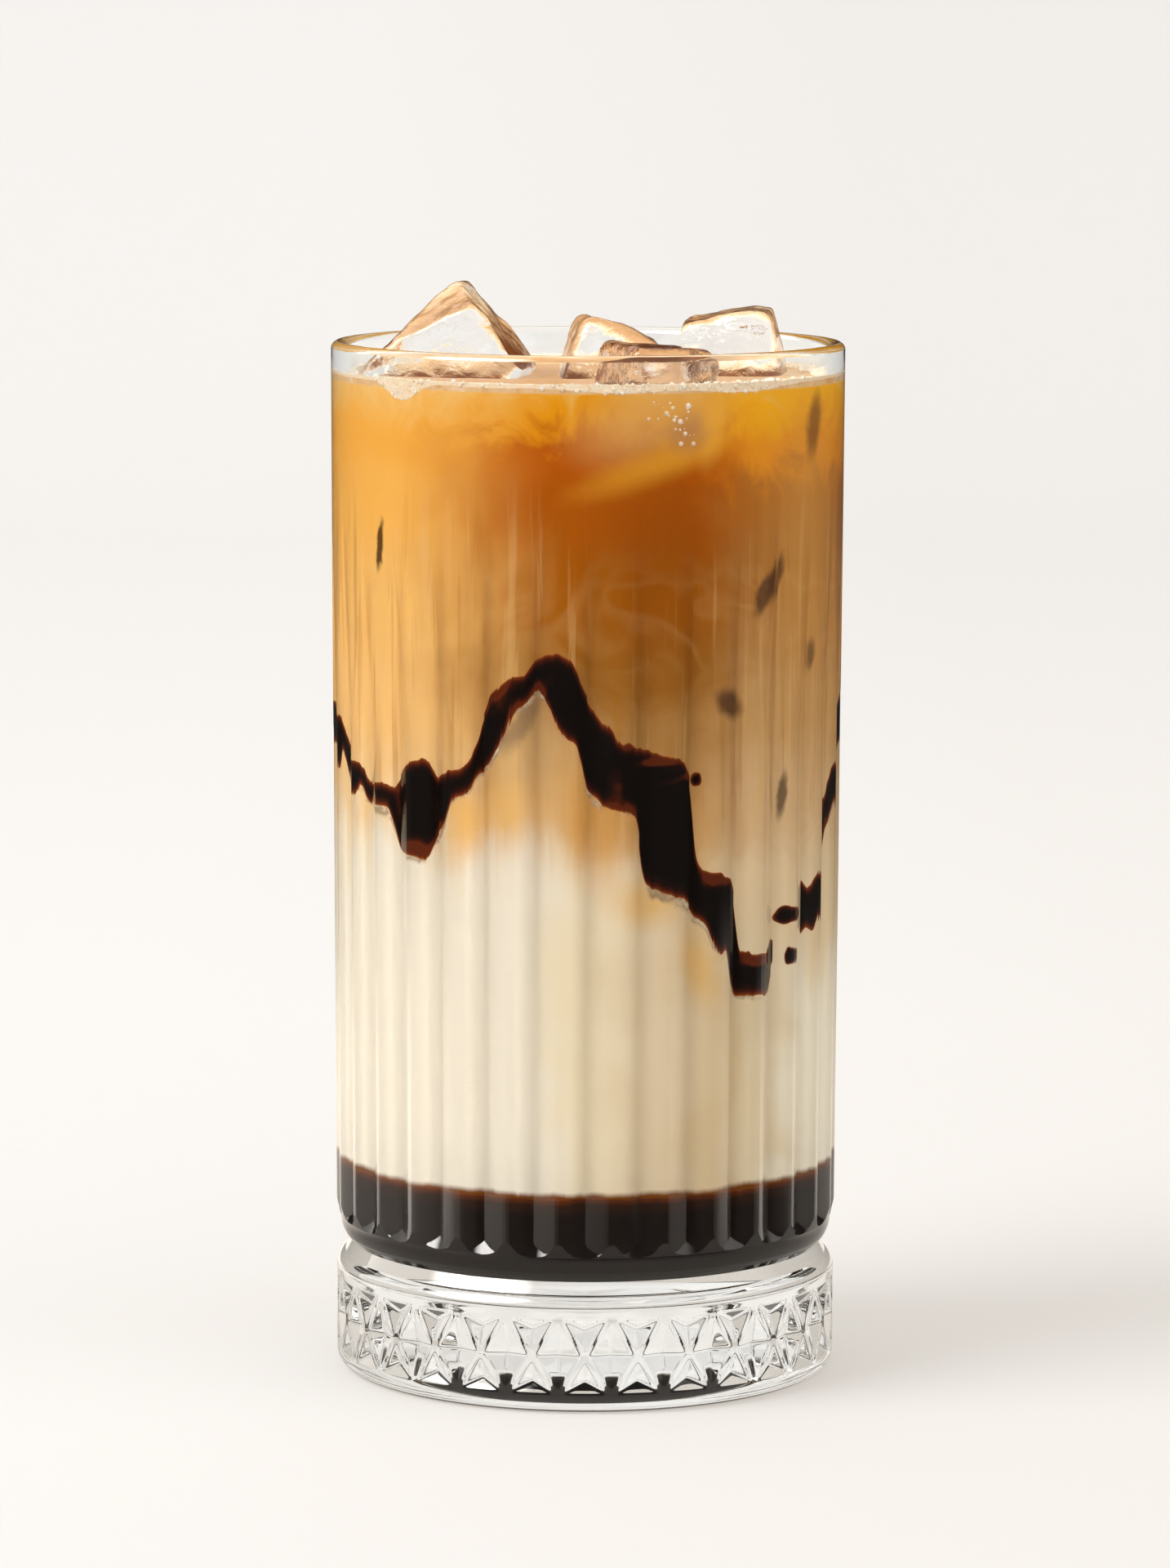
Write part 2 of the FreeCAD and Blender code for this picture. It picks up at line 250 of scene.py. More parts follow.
def bakeModifiers(piece):
    # the evaluated shape becomes the piece's own plain mesh
    bpy.context.view_layer.update()
    graph = bpy.context.evaluated_depsgraph_get()
    mesh = bpy.data.meshes.new_from_object(piece.evaluated_get(graph))
    mesh.name = piece.name
    piece.modifiers.clear()
    piece.data = mesh
    return piece


def finishShading(piece, creaseAngle, weld=0.0, outward=True, softBelow=-1.0):
    bm = bmesh.new()
    bm.from_mesh(piece.data)
    if weld:
        bmesh.ops.remove_doubles(bm, verts=bm.verts, dist=weld * unit)
    if outward:
        bmesh.ops.recalc_face_normals(bm, faces=bm.faces)
    limit = math.radians(creaseAngle)
    for face in bm.faces:
        face.smooth = True
    for edge in bm.edges:
        low = min(vertex.co.z for vertex in edge.verts)
        edge.smooth = (len(edge.link_faces) != 2 or edge.calc_face_angle(0.0) < limit
                       or low < softBelow * unit)
    bm.to_mesh(piece.data)
    bm.free()


def attach(piece, slotName, *nodes):
    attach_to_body(piece, body)
    if nodes:
        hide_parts(*nodes)
    print("piece", piece.name, len(piece.data.polygons), "faces")


def arcOf(start, end, radius, leftTurn, steps):
    # points of the short arc after start, up to and with end, as radius and height
    startAt = Vector(start)
    endAt = Vector(end)
    chord = endAt - startAt
    rise = math.sqrt(radius ** 2 - (chord.length / 2.0) ** 2)
    side = Vector((-chord.y, chord.x)).normalized() * (1.0 if leftTurn else -1.0)
    centre = (startAt + endAt) / 2.0 + side * rise
    first = math.atan2(startAt.y - centre.y, startAt.x - centre.x)
    last = math.atan2(endAt.y - centre.y, endAt.x - centre.x)
    sweep = (last - first + math.pi) % (2.0 * math.pi) - math.pi
    points = []
    for index in range(1, steps + 1):
        turn = first + sweep * index / steps
        points.append((centre.x + radius * math.cos(turn), centre.y + radius * math.sin(turn)))
    return points


def outerWallAt(height):
    s = glassSizes
    rise = (s["rimRadius"] - s["wallRadius"]) / (s["lipStart"] - s["wallStart"])
    return s["wallRadius"] + rise * (height - s["wallStart"])


def innerWallAt(height):
    s = glassSizes
    if height < s["hollowStart"]:
        drop = min(s["floorRound"], s["hollowStart"] - height)
        return s["floorRadius"] + math.sqrt(s["floorRound"] ** 2 - drop ** 2)
    rise = (s["rimInside"] - s["hollowRadius"]) / (s["lipStart"] - s["hollowStart"])
    return s["hollowRadius"] + rise * (height - s["hollowStart"])


def fluteAt(turn, height):
    # turn is the angle from the nearest groove: two flat flanks and a slightly rounded crest
    s = glassSizes
    growth = s["fadeRise"] * max(0.0, height - s["fluteEnd"]) / (s["fadeEnd"] - s["fluteEnd"])
    share = abs(turn) / (sectorAngle / 2.0)
    crest = s["crestRound"]
    hollow = (1.0 - share) ** 2 / (2.0 * crest) if share > 1.0 - crest else 1.0 - share - crest / 2.0
    hollow = hollow / (1.0 - crest / 2.0)
    return outerWallAt(height) - s["ridgeStep"] + growth - s["fluteDepth"] * hollow


def ledgeAt(turn, height):
    # the small spoon that closes the foot of each groove and looks up
    s = glassSizes
    return (s["chamferRadius"] + s["ledgeSpoon"] * turn ** 2
            - s["ledgeSlope"] * (height - s["chamferStart"]))


def solveHeight(difference, low, high):
    # the height between low and high where difference changes sign, or high where it doesn't
    if difference(low) * difference(high) > 0.0:
        return high
    for _ in range(40):
        middle = (low + high) / 2.0
        if difference(low) * difference(middle) <= 0.0:
            high = middle
        else:
            low = middle
    return (low + high) / 2.0


def shoulderAt(height):
    # the round between the neck and the slant under the flutes
    s = glassSizes
    start = Vector((s["neckRadius"], s["neckHeight"]))
    end = Vector((s["chamferRadius"], s["chamferStart"]))
    chord = end - start
    rise = math.sqrt(s["shoulderRound"] ** 2 - (chord.length / 2.0) ** 2)
    centre = (start + end) / 2.0 + Vector((-chord.y, chord.x)).normalized() * rise
    return centre.x + math.sqrt(max(0.0, s["shoulderRound"] ** 2 - (height - centre.y) ** 2))


def slantAt(height):
    s = glassSizes
    slope = (s["wallRadius"] - s["chamferRadius"]) / (s["wallStart"] - s["chamferStart"])
    return s["chamferRadius"] + slope * (height - s["chamferStart"])


def sectorColumns():
    # angles across one sector, with the groove at 0
    right = [sectorAngle / 2.0 * share for share in (0.1, 0.23, 0.36, 0.49, 0.62, 0.74, 0.87, 1.0)]
    return [-angle for angle in reversed(right)] + [0.0] + right


def upperRows(turn):
    # the outside from the collar to the lip, then the inside down to its floor, for one column
    s = glassSizes
    rows = []
    rows += arcOf((s["footRadius"], s["footTop"]), (s["collarRadius"], s["collarHeight"]),
                  s["footRound"], True, 10)
    rows.append((s["neckRadius"], s["neckHeight"]))
    low, high = s["neckHeight"], s["chamferStart"]
    for index in range(1, 9):
        height = low + (high - low) * math.sin(math.pi / 2.0 * index / 8)
        rows.append((shoulderAt(height), height))
    ledgeStart = solveHeight(lambda z: slantAt(z) - max(fluteAt(turn, z), ledgeAt(turn, z)),
                             high - 0.02, s["wallStart"] + 1.0)
    slantEnd = ledgeStart
    if ledgeAt(turn, ledgeStart) > fluteAt(turn, ledgeStart):
        slantEnd = solveHeight(lambda z: ledgeAt(turn, z) - fluteAt(turn, z), ledgeStart,
                               s["wallStart"] + 1.0)
    for index in (1, 2):
        height = high + (ledgeStart - high) * index / 2.0
        rows.append((slantAt(height), height))
    for index in (1, 2, 3):
        height = ledgeStart + (slantEnd - ledgeStart) * index / 3.0
        ledge = min(slantAt(height), max(ledgeAt(turn, height), fluteAt(turn, height)))
        rows.append((ledge, height))
    for index in range(1, 7):
        height = slantEnd + (s["fluteEnd"] - slantEnd) * index / 6.0
        rows.append((fluteAt(turn, height), height))
    fadeTop = solveHeight(lambda z: fluteAt(turn, z) - outerWallAt(z), s["fluteEnd"], s["fadeEnd"])
    for index in range(1, 11):
        height = s["fluteEnd"] + (fadeTop - s["fluteEnd"]) * index / 10.0
        rows.append((fluteAt(turn, height), height))
    for index in range(1, 6):
        height = fadeTop + (s["lipStart"] - fadeTop) * index / 5.0
        rows.append((outerWallAt(height), height))
    rows += arcOf(rows[-1], (s["rimInside"], s["lipStart"]), s["lipRadius"], True, 18)
    for index in range(1, 6):
        height = s["lipStart"] + (s["hollowStart"] - s["lipStart"]) * index / 5.0
        rows.append((innerWallAt(height), height))
    rows += arcOf((s["hollowRadius"], s["hollowStart"]), (s["floorRadius"], s["floorHeight"]),
                  s["floorRound"], False, 14)
    for share in (0.75, 0.5, 0.25):
        rows.append((s["floorRadius"] * share, s["floorHeight"]))
    return rows


def lowerRows():
    # the underside from near the middle out to the foot's upright side
    s = glassSizes
    rows = [(s["puntFlat"] * 0.33, s["puntHeight"]), (s["puntFlat"] * 0.67, s["puntHeight"])]
    rows += [(s["puntFlat"], s["puntHeight"]), (s["puntRadius"], 0.0)]
    rows += [(0.5 * (s["puntRadius"] + s["standRadius"]), 0.0), (s["standRadius"], 0.0)]
    rows += arcOf(rows[-1], (s["footRadius"], s["footStart"]), s["lowerRound"], True, 12)
    return rows


def softLeast(values, softness):
    # the least of some values, with rounded changes from one to the next
    least = min(values)
    total = sum(math.exp((least - value) / softness) for value in values)
    return least - softness * math.log(total)


def cutDepthAt(across, along):
    # depth of the cuts at a place in one sector, in millimetres from its middle and its foot
    s = glassSizes
    degree = math.radians(1.0) * s["footRadius"]
    high = s["bandEnd"] - s["bandStart"]
    halfWide = 0.5 * sectorAngle * degree
    slant = math.hypot(halfWide, 0.5 * high)
    rib = 0.5 * s["ribWidth"]
    # distance from the rib that runs up from the middle of the sector to its side
    side = abs(across)
    upper = along > 0.5 * high
    climb = along - 0.5 * high if upper else 0.5 * high - along
    fromRib = (side * 0.5 * high - climb * halfWide) / slant
    if fromRib > 0.0:
        # in a diamond: its two upper and two lower sides meet in one deep point
        ribs = [fromRib - rib, ((2.0 * halfWide - side) * 0.5 * high - climb * halfWide) / slant - rib]
        flip = (side * 0.5 * high + climb * halfWide) / slant
        ribs += [flip - rib, ((2.0 * halfWide - side) * 0.5 * high + climb * halfWide) / slant - rib]
        reach = halfWide * 0.5 * high / slant - rib
        walls = [value / reach for value in ribs]
    else:
        # in a triangle: two ribs and the edge of the band
        deep = 0.5 * high - high / 6.0
        reach = deep * halfWide / slant - rib
        edge = 0.5 * high - climb - 0.5 * rib
        flip = (climb * halfWide + side * 0.5 * high) / slant
        walls = [(-fromRib - rib) / reach, (flip - rib) / reach, edge / (high / 6.0 - 0.5 * rib)]
    wall = softLeast(walls, s["edgeSoftness"] / reach)
    # a soft step where a cut begins
    soft = s["edgeSoftness"] / reach
    wall = 0.5 * (wall + math.sqrt(wall ** 2 + soft ** 2)) - 0.5 * soft
    return s["cutDepth"] * max(0.0, wall)


def bandFaces(bm, lowRow, highRow, columns):
    # one sector of the band of diamonds and triangles, as a fine sheet between its neighbours
    s = glassSizes
    degree = math.radians(1.0) * s["footRadius"]
    turns = [columns[0]]
    for first, second in zip(columns, columns[1:]):
        for share in range(1, s["bandSplit"] + 1):
            turns.append(first + (second - first) * share / s["bandSplit"])
    rows = []
    for index in range(s["bandRows"] + 1):
        along = (s["bandEnd"] - s["bandStart"]) * index / s["bandRows"]
        row = []
        for turn in turns:
            radius = s["footRadius"] - cutDepthAt(turn * degree, along)
            row.append(bm.verts.new(placeAt(radius, turn, s["bandStart"] + along)))
        rows.append(row)
    gridFaces(bm, rows)
    for row, near in ((lowRow, rows[0]), (highRow, rows[-1])):
        for index in range(len(columns) - 1):
            start = index * s["bandSplit"]
            bm.faces.new([row[index + 1], row[index]] + near[start:start + s["bandSplit"] + 1])


def gridFaces(bm, rows):
    for first, second in zip(rows, rows[1:]):
        for index in range(len(first) - 1):
            corners = [first[index], first[index + 1], second[index + 1], second[index]]
            places = {tuple(round(value, 8) for value in corner.co) for corner in corners}
            if len(places) == 4:
                bm.faces.new(corners)
            elif len(places) == 3:
                kept = []
                for corner in corners:
                    if all((corner.co - other.co).length > 1e-8 for other in kept):
                        kept.append(corner)
                bm.faces.new(kept)


def makeSector():
    # one twelve degree slice of the glass, with a groove down its middle
    columns = sectorColumns()
    bm = bmesh.new()
    sections = [upperRows(abs(turn)) for turn in columns]
    upper = []
    for index in range(len(sections[0])):
        upper.append([bm.verts.new(placeAt(section[index][0], turn, section[index][1]))
                      for turn, section in zip(columns, sections)])
    lower = []
    for radius, height in lowerRows():
        lower.append([bm.verts.new(placeAt(radius, turn, height)) for turn in columns])
    footRow = [bm.verts.new(placeAt(glassSizes["footRadius"], turn, glassSizes["footTop"]))
               for turn in columns]
    gridFaces(bm, lower)
    gridFaces(bm, [footRow] + upper)
    bandFaces(bm, lower[-1], footRow, columns)
    for row, height in ((upper[-1], glassSizes["floorHeight"]), (lower[0], glassSizes["puntHeight"])):
        pole = bm.verts.new((0.0, 0.0, height * unit))
        for index in range(len(columns) - 1):
            bm.faces.new([pole, row[index], row[index + 1]])
    mesh = bpy.data.meshes.new("glassSector")
    bm.to_mesh(mesh)
    bm.free()
    return mesh


def geometryTree(name, inputs):
    tree = bpy.data.node_groups.new(name, "GeometryNodeTree")
    tree.interface.new_socket(name="Geometry", in_out="INPUT", socket_type="NodeSocketGeometry")
    identifiers = {}
    for label, kind in inputs:
        socket = tree.interface.new_socket(name=label, in_out="INPUT", socket_type=kind)
        identifiers[label] = socket.identifier
    tree.interface.new_socket(name="Geometry", in_out="OUTPUT", socket_type="NodeSocketGeometry")
    return tree, addNode(tree, "NodeGroupInput"), addNode(tree, "NodeGroupOutput"), identifiers


def useTree(piece, tree, identifiers, values):
    modifier = piece.modifiers.new(tree.name, "NODES")
    modifier.node_group = tree
    for label, value in values.items():
        modifier[identifiers[label]] = value


def ringTree():
    # turns one sector round the axis, then shifts the tops of the flutes unevenly
    tree, given, made, identifiers = geometryTree("ringOfSectors", [
        ("Count", "NodeSocketInt"), ("Weld", "NodeSocketFloat"), ("Uneven", "NodeSocketFloat"),
        ("Fade Start", "NodeSocketFloat"), ("Fade End", "NodeSocketFloat"),
        ("Material", "NodeSocketMaterial")])
    points = addNode(tree, "GeometryNodePoints")
    feed(tree, points.inputs["Count"], given.outputs["Count"])
    index = addNode(tree, "GeometryNodeInputIndex").outputs[0]
    turn = doMath(tree, "DIVIDE", doMath(tree, "MULTIPLY", index, 2.0 * math.pi), given.outputs["Count"])
    rotation = addNode(tree, "ShaderNodeCombineXYZ")
    feed(tree, rotation.inputs["Z"], turn)
    spread = addNode(tree, "GeometryNodeInstanceOnPoints")
    feed(tree, spread.inputs["Points"], points.outputs[0])
    feed(tree, spread.inputs["Instance"], given.outputs["Geometry"])
    feed(tree, spread.inputs["Rotation"], rotation.outputs[0])
    real = addNode(tree, "GeometryNodeRealizeInstances")
    feed(tree, real.inputs[0], spread.outputs[0])
    weld = addNode(tree, "GeometryNodeMergeByDistance")
    feed(tree, weld.inputs["Geometry"], real.outputs[0])
    feed(tree, weld.inputs["Distance"], given.outputs["Weld"])
    place = addNode(tree, "GeometryNodeInputPosition").outputs[0]
    x, y, height = splitPlace(tree, place)
    across = addNode(tree, "ShaderNodeCombineXYZ")
    feed(tree, across.inputs["X"], x)
    feed(tree, across.inputs["Y"], y)
    wander = addNode(tree, "ShaderNodeTexNoise", noise_dimensions="3D")
    wander.inputs["Scale"].default_value = glassSizes["unevenScale"]
    wander.inputs["Detail"].default_value = 0.0
    feed(tree, wander.inputs["Vector"], across.outputs[0])
    start = doMath(tree, "SUBTRACT", given.outputs["Fade Start"], glassSizes["unevenBelow"] * unit)
    end = doMath(tree, "ADD", given.outputs["Fade End"], glassSizes["unevenAbove"] * unit)
    up = remap(tree, height, start, given.outputs["Fade Start"])
    down = remap(tree, height, given.outputs["Fade End"], end, 1.0, 0.0)
    lift = doMath(tree, "SUBTRACT", wander.outputs["Fac"], glassSizes["unevenMiddle"])
    lift = doMath(tree, "MULTIPLY", lift, given.outputs["Uneven"])
    lift = doMath(tree, "MULTIPLY", lift, doMath(tree, "MULTIPLY", up, down))
    offset = addNode(tree, "ShaderNodeCombineXYZ")
    feed(tree, offset.inputs["Z"], lift)
    shift = addNode(tree, "GeometryNodeSetPosition")
    feed(tree, shift.inputs["Geometry"], weld.outputs[0])
    feed(tree, shift.inputs["Offset"], offset.outputs[0])
    paint = addNode(tree, "GeometryNodeSetMaterial")
    feed(tree, paint.inputs["Geometry"], shift.outputs[0])
    feed(tree, paint.inputs["Material"], given.outputs["Material"])
    feed(tree, made.inputs[0], paint.outputs[0])
    return tree, identifiers


glassLooks = {"ior": 1.5, "colour": (0.975, 0.99, 0.98, 1.0), "waviness": 0.02, "wavesEvery": 0.12}


def glassMaterial():
    material, tree, shader, place = newMaterial(
        "clearPressedGlass", **{"Base Color": glassLooks["colour"], "Roughness": 0.0,
                                "IOR": glassLooks["ior"], "Transmission Weight": 1.0})
    waves = noiseOn(tree, place, glassLooks["wavesEvery"], 2.0)
    bumpFrom(tree, shader, waves, glassLooks["waviness"], 0.5)
    return material


def makeGlass():
    piece = placePiece("glassBody", makeSector())
    tree, identifiers = ringTree()
    useTree(piece, tree, identifiers, {
        "Count": glassSizes["fluteCount"], "Weld": glassSizes["sectorWeld"] * unit,
        "Uneven": glassSizes["fadeUneven"] * unit * 2.0,
        "Fade Start": glassSizes["fluteEnd"] * unit, "Fade End": glassSizes["fadeEnd"] * unit,
        "Material": glassMaterial()})
    bakeModifiers(piece)
    finishShading(piece, glassSizes["creaseAngle"], weld=glassSizes["weld"],
                  softBelow=glassSizes["bandEnd"] + glassSizes["softAbove"])
    attach(piece, "glass", "glass")
    return piece


drinkSizes = {
    "syrupLevel": 30.0, "milkLevel": 75.0, "coffeeLevel": 141.5,
    "milkFall": 9.0, "milkWave": 5.0, "waveLength": 66.0, "waveShift": 6.0,
    "backShare": 0.3,      # how high the wave is from front to back
    "intoWall": 0.1,       # how far a layer reaches into the glass
    "meniscus": 0.7, "meniscusWide": 2.2,     # climb of the drink at the wall
    "surfaceDrop": 0.35, "swell": 0.25, "swellScale": 0.12,
    "columns": 300, "capRings": 22,
}


def milkTop(across, back):
    d = drinkSizes
    fall = d["milkFall"] * across / glassSizes["hollowRadius"]
    wave = d["milkWave"] * math.cos(2.0 * math.pi * (across + d["waveShift"]) / d["waveLength"])
    ripple = d["backShare"] * d["milkWave"] * math.sin(2.0 * math.pi * back / d["waveLength"])
    return d["milkLevel"] - fall + wave + ripple


def coffeeTop(across, back):
    # slightly uneven, and higher where it wets the wall
    d = drinkSizes
    radius = math.hypot(across, back)
    wet = max(0.0, 1.0 - (innerWallAt(d["coffeeLevel"]) - radius) / d["meniscusWide"]) ** 2
    scale = d["swellScale"]
    swell = d["swell"] * noise.noise(Vector((across * scale, back * scale, 3.1)))
    return d["coffeeLevel"] - d["surfaceDrop"] + swell + d["meniscus"] * wet


def makeLayer(name, bottomAt, topAt, wallRows, material):
    # a closed block of drink between two surfaces, as wide as the hollow and a little more
    d = drinkSizes
    vertices, faces, rings = [], [], []

    def ring(radiusOf, heightOf):
        row = []
        for column in range(d["columns"]):
            across, back = wayAt(360.0 * column / d["columns"])
            radius = radiusOf(across, back)
            vertices.append(Vector((radius * across, radius * back,
                                    heightOf(radius * across, radius * back))) * unit)
            row.append(len(vertices) - 1)
        rings.append(row)

    def outerRadius(height):
        return innerWallAt(height) + d["intoWall"]

    def rim(surface):
        # where a surface meets the wall, as a radius for each direction
        def radiusOf(across, back):
            near = innerWallAt(d["milkLevel"])
            return outerRadius(surface(near * across, near * back))
        return radiusOf

    lowRim, highRim = rim(bottomAt), rim(topAt)
    shares = [(index / d["capRings"]) ** 0.75 for index in range(1, d["capRings"])]
    for share in shares:
        ring(lambda a, b: share * lowRim(a, b), bottomAt)
    for index in range(wallRows + 1):
        part = index / wallRows
        row = []
        for column in range(d["columns"]):
            across, back = wayAt(360.0 * column / d["columns"])
            low = bottomAt(lowRim(across, back) * across, lowRim(across, back) * back)
            high = topAt(highRim(across, back) * across, highRim(across, back) * back)
            height = low + (high - low) * part
            radius = outerRadius(height)
            vertices.append(Vector((radius * across, radius * back, height)) * unit)
            row.append(len(vertices) - 1)
        rings.append(row)
    for share in reversed(shares):
        ring(lambda a, b: share * highRim(a, b), topAt)
    count = d["columns"]
    for first, second in zip(rings, rings[1:]):
        for column in range(count):
            following = (column + 1) % count
            faces.append((first[column], first[following], second[following], second[column]))
    for row, surface in ((rings[0], bottomAt), (rings[-1], topAt)):
        vertices.append(Vector((0.0, 0.0, surface(0.0, 0.0))) * unit)
        middle = len(vertices) - 1
        for column in range(count):
            faces.append((middle, row[column], row[(column + 1) % count]))
    piece = newPiece(name, vertices, faces, material)
    finishShading(piece, 30.0)
    return piece


drinkLooks = {
    # the colour of the coffee over the height, at the left, in the middle and at the right; across the glass
    # this is painted light and shade, paler at the left where the light falls and deeper towards the middle
    # and right
    "coffeeFrom": 72.0, "coffeeTo": 143.0,
    "left": [(72.0, tone(248, 228, 192)), (84.0, tone(250, 213, 158)), (96.0, tone(250, 203, 132)),
             (112.0, tone(252, 204, 122)), (126.0, tone(254, 198, 100)), (134.0, tone(253, 190, 84)),
             (143.0, tone(254, 212, 134))],
    "middle": [(72.0, tone(234, 200, 150)), (83.0, tone(214, 164, 100)), (93.0, tone(188, 138, 76)),
               (103.0, tone(168, 108, 34)), (113.0, tone(178, 102, 4)), (126.0, tone(188, 96, 0)),
               (132.5, tone(196, 98, 0)), (138.0, tone(242, 164, 16)), (143.0, tone(250, 192, 90))],
    "right": [(72.0, tone(240, 216, 178)), (83.0, tone(226, 190, 144)), (96.0, tone(212, 167, 108)),
              (108.0, tone(200, 146, 84)), (119.0, tone(190, 129, 62)), (126.0, tone(196, 126, 48)),
              (133.0, tone(248, 164, 40)), (139.0, tone(255, 188, 36)), (143.0, tone(252, 202, 104))],
    # the colour of the milk from left to right, painted light and shade: pale where the light falls at the
    # left, deeper and warmer right of the middle, paler again at the right edge
    "milk": [(-33.0, tone(249, 240, 224)), (-9.0, tone(247, 238, 222)), (0.0, tone(245, 230, 200)),
             (9.0, tone(236, 217, 186)), (18.0, tone(228, 205, 166)), (24.0, tone(238, 220, 188)),
             (30.0, tone(251, 242, 222))],
    # millimetres across over which one of the three columns of colour passes into the next
    "leftToMiddle": (-27.0, -4.0), "middleToRight": (13.0, 23.0),
    "milkToCoffee": (-9.0, 6.0),       # millimetres below and above the top of the milk
    "cloudWander": 16.0, "streakWander": 30.0, "curlRise": 14.0, "cloudDrift": 14.0,
    "wisp": tone(240, 190, 120), "wispStrength": 0.16, "wispRise": (99.0, 108.0), "wispEnd": (122.0, 112.0),
    "paleThread": tone(250, 208, 140), "darkThread": tone(176, 112, 30),
    "threadRise": (76.0, 88.0), "threadEnd": (132.0, 116.0),
    "syrupStain": tone(120, 66, 18), "stainWander": 1.6, "stainReach": (1.1, 0.1),
    # the drink under the surface, seen through the ice
    "roundIce": tone(164, 98, 44), "roundIceFrom": (0.6, 1.4),
    # the froth on the surface: how deep it begins, and where it thins out from the wall
    "frothDepth": (0.9, 0.5), "thinnerFrom": (3.0, 10.0), "surfaceMiddle": tone(196, 140, 88),
    "markWander": 1.4,
    # soft marks seen on the wall of the drink, among them painted highlights and painted shade: angle and
    # height of the middle, half width, half height, lean, softness, strength, colour
    "marks": [
        # a cube under the surface, painted on the wall, with a painted highlight on its lit lower edge, and
        # the bubbles on it
        (14.5, 136.8, 9.0, 4.6, -14.0, 0.7, 0.7, tone(238, 186, 108)),
        (18.0, 131.6, 9.5, 1.9, -20.0, 0.9, 0.75, tone(255, 186, 52)),
        (29.0, 136.0, 1.5, 4.4, 12.0, 0.8, 0.6, tone(255, 194, 76)),
        (23.0, 135.4, 2.4, 2.6, 20.0, 0.7, 0.6, tone(196, 148, 100)),
        # painted shade: the darkest coffee, right of the middle
        (17.0, 117.0, 6.5, 13.0, 0.0, 0.9, 0.4, tone(150, 74, 0)),
        # painted light: paler coffee by the right edge
        (60.0, 121.0, 7.0, 15.0, 0.0, 0.9, 0.5, tone(232, 176, 96)),
        # paler drink under the arch of sauce
        (-9.5, 89.0, 6.0, 9.0, 0.0, 0.9, 0.6, tone(234, 196, 140)),
        # milk stained by the sauce
        (-28.2, 81.5, 2.6, 4.0, 10.0, 0.8, 0.8, tone(248, 190, 96)),
        (-18.0, 84.0, 4.0, 3.2, 0.0, 0.9, 0.5, tone(246, 194, 110)),
        (1.5, 82.0, 3.2, 8.0, -12.0, 0.8, 0.6, tone(226, 162, 74)),
        (13.8, 71.0, 3.6, 3.0, 0.0, 0.8, 0.7, tone(240, 190, 108)),
        (27.0, 62.0, 2.2, 5.0, -20.0, 0.8, 0.65, tone(240, 190, 110)),
        # dark and brown flecks: sauce, and painted shade in the gaps between the cubes, seen through the
        # drink
        (-15.1, 96.0, 1.3, 4.8, 34.0, 0.6, 0.75, tone(150, 122, 92)),
        (62.0, 135.5, 1.7, 4.2, 12.0, 0.5, 0.75, tone(120, 82, 50)),
        (-54.5, 119.0, 0.7, 3.4, 6.0, 0.35, 0.9, tone(62, 24, 6)),
        (44.0, 112.8, 1.3, 3.0, 28.0, 0.4, 0.85, tone(92, 62, 44)),
        (48.5, 115.0, 1.4, 3.2, 24.0, 0.4, 0.85, tone(92, 62, 44)),
        (34.5, 98.0, 2.3, 1.7, 40.0, 0.5, 0.85, tone(84, 54, 36)),
        (64.0, 103.5, 1.0, 2.0, 10.0, 0.5, 0.7, tone(100, 72, 50)),
        (52.5, 84.5, 0.9, 3.0, 8.0, 0.45, 0.8, tone(84, 62, 44)),
    ],
}


def patchGroup():
    # a soft oval on the wall of the drink, in millimetres round the glass and up it
    if "softPatch" in bpy.data.node_groups:
        return bpy.data.node_groups["softPatch"]
    group, given, made = newGroup("softPatch", [
        ("Arc", "NodeSocketFloat", None), ("Height", "NodeSocketFloat", None),
        ("Middle Arc", "NodeSocketFloat", 0.0), ("Middle Height", "NodeSocketFloat", 0.0),
        ("Half Width", "NodeSocketFloat", 1.0), ("Half Height", "NodeSocketFloat", 1.0),
        ("Lean", "NodeSocketFloat", 0.0), ("Softness", "NodeSocketFloat", 0.3),
    ], [("Mask", "NodeSocketFloat")])
    values = given.outputs
    across = doMath(group, "SUBTRACT", values["Arc"], values["Middle Arc"])
    along = doMath(group, "SUBTRACT", values["Height"], values["Middle Height"])
    lean = doMath(group, "RADIANS", values["Lean"])
    cosine = doMath(group, "COSINE", lean)
    sine = doMath(group, "SINE", lean)
    turnedAcross = doMath(group, "SUBTRACT", doMath(group, "MULTIPLY", across, cosine),
                          doMath(group, "MULTIPLY", along, sine))
    turnedAlong = doMath(group, "ADD", doMath(group, "MULTIPLY", across, sine),
                         doMath(group, "MULTIPLY", along, cosine))
    first = doMath(group, "POWER", doMath(group, "DIVIDE", turnedAcross, values["Half Width"]), 2.0)
    second = doMath(group, "POWER", doMath(group, "DIVIDE", turnedAlong, values["Half Height"]), 2.0)
    reach = doMath(group, "SQRT", doMath(group, "ADD", first, second))
    outer = doMath(group, "ADD", 1.0, values["Softness"])
    inner = doMath(group, "SUBTRACT", 1.0, values["Softness"])
    feed(group, made.inputs["Mask"], remap(group, reach, outer, inner))
    return group


def swing(tree, pattern, amount):
    # a pattern as a shift to both sides
    return doMath(tree, "MULTIPLY", doMath(tree, "SUBTRACT", pattern, 0.5), amount)


def arcOnWall(tree, x, y):
    # millimetres round the inner wall from the front
    turn = doMath(tree, "ARCTAN2", x, doMath(tree, "MULTIPLY", y, -1.0))
    return doMath(tree, "MULTIPLY", turn, innerWallAt(drinkSizes["milkLevel"]))


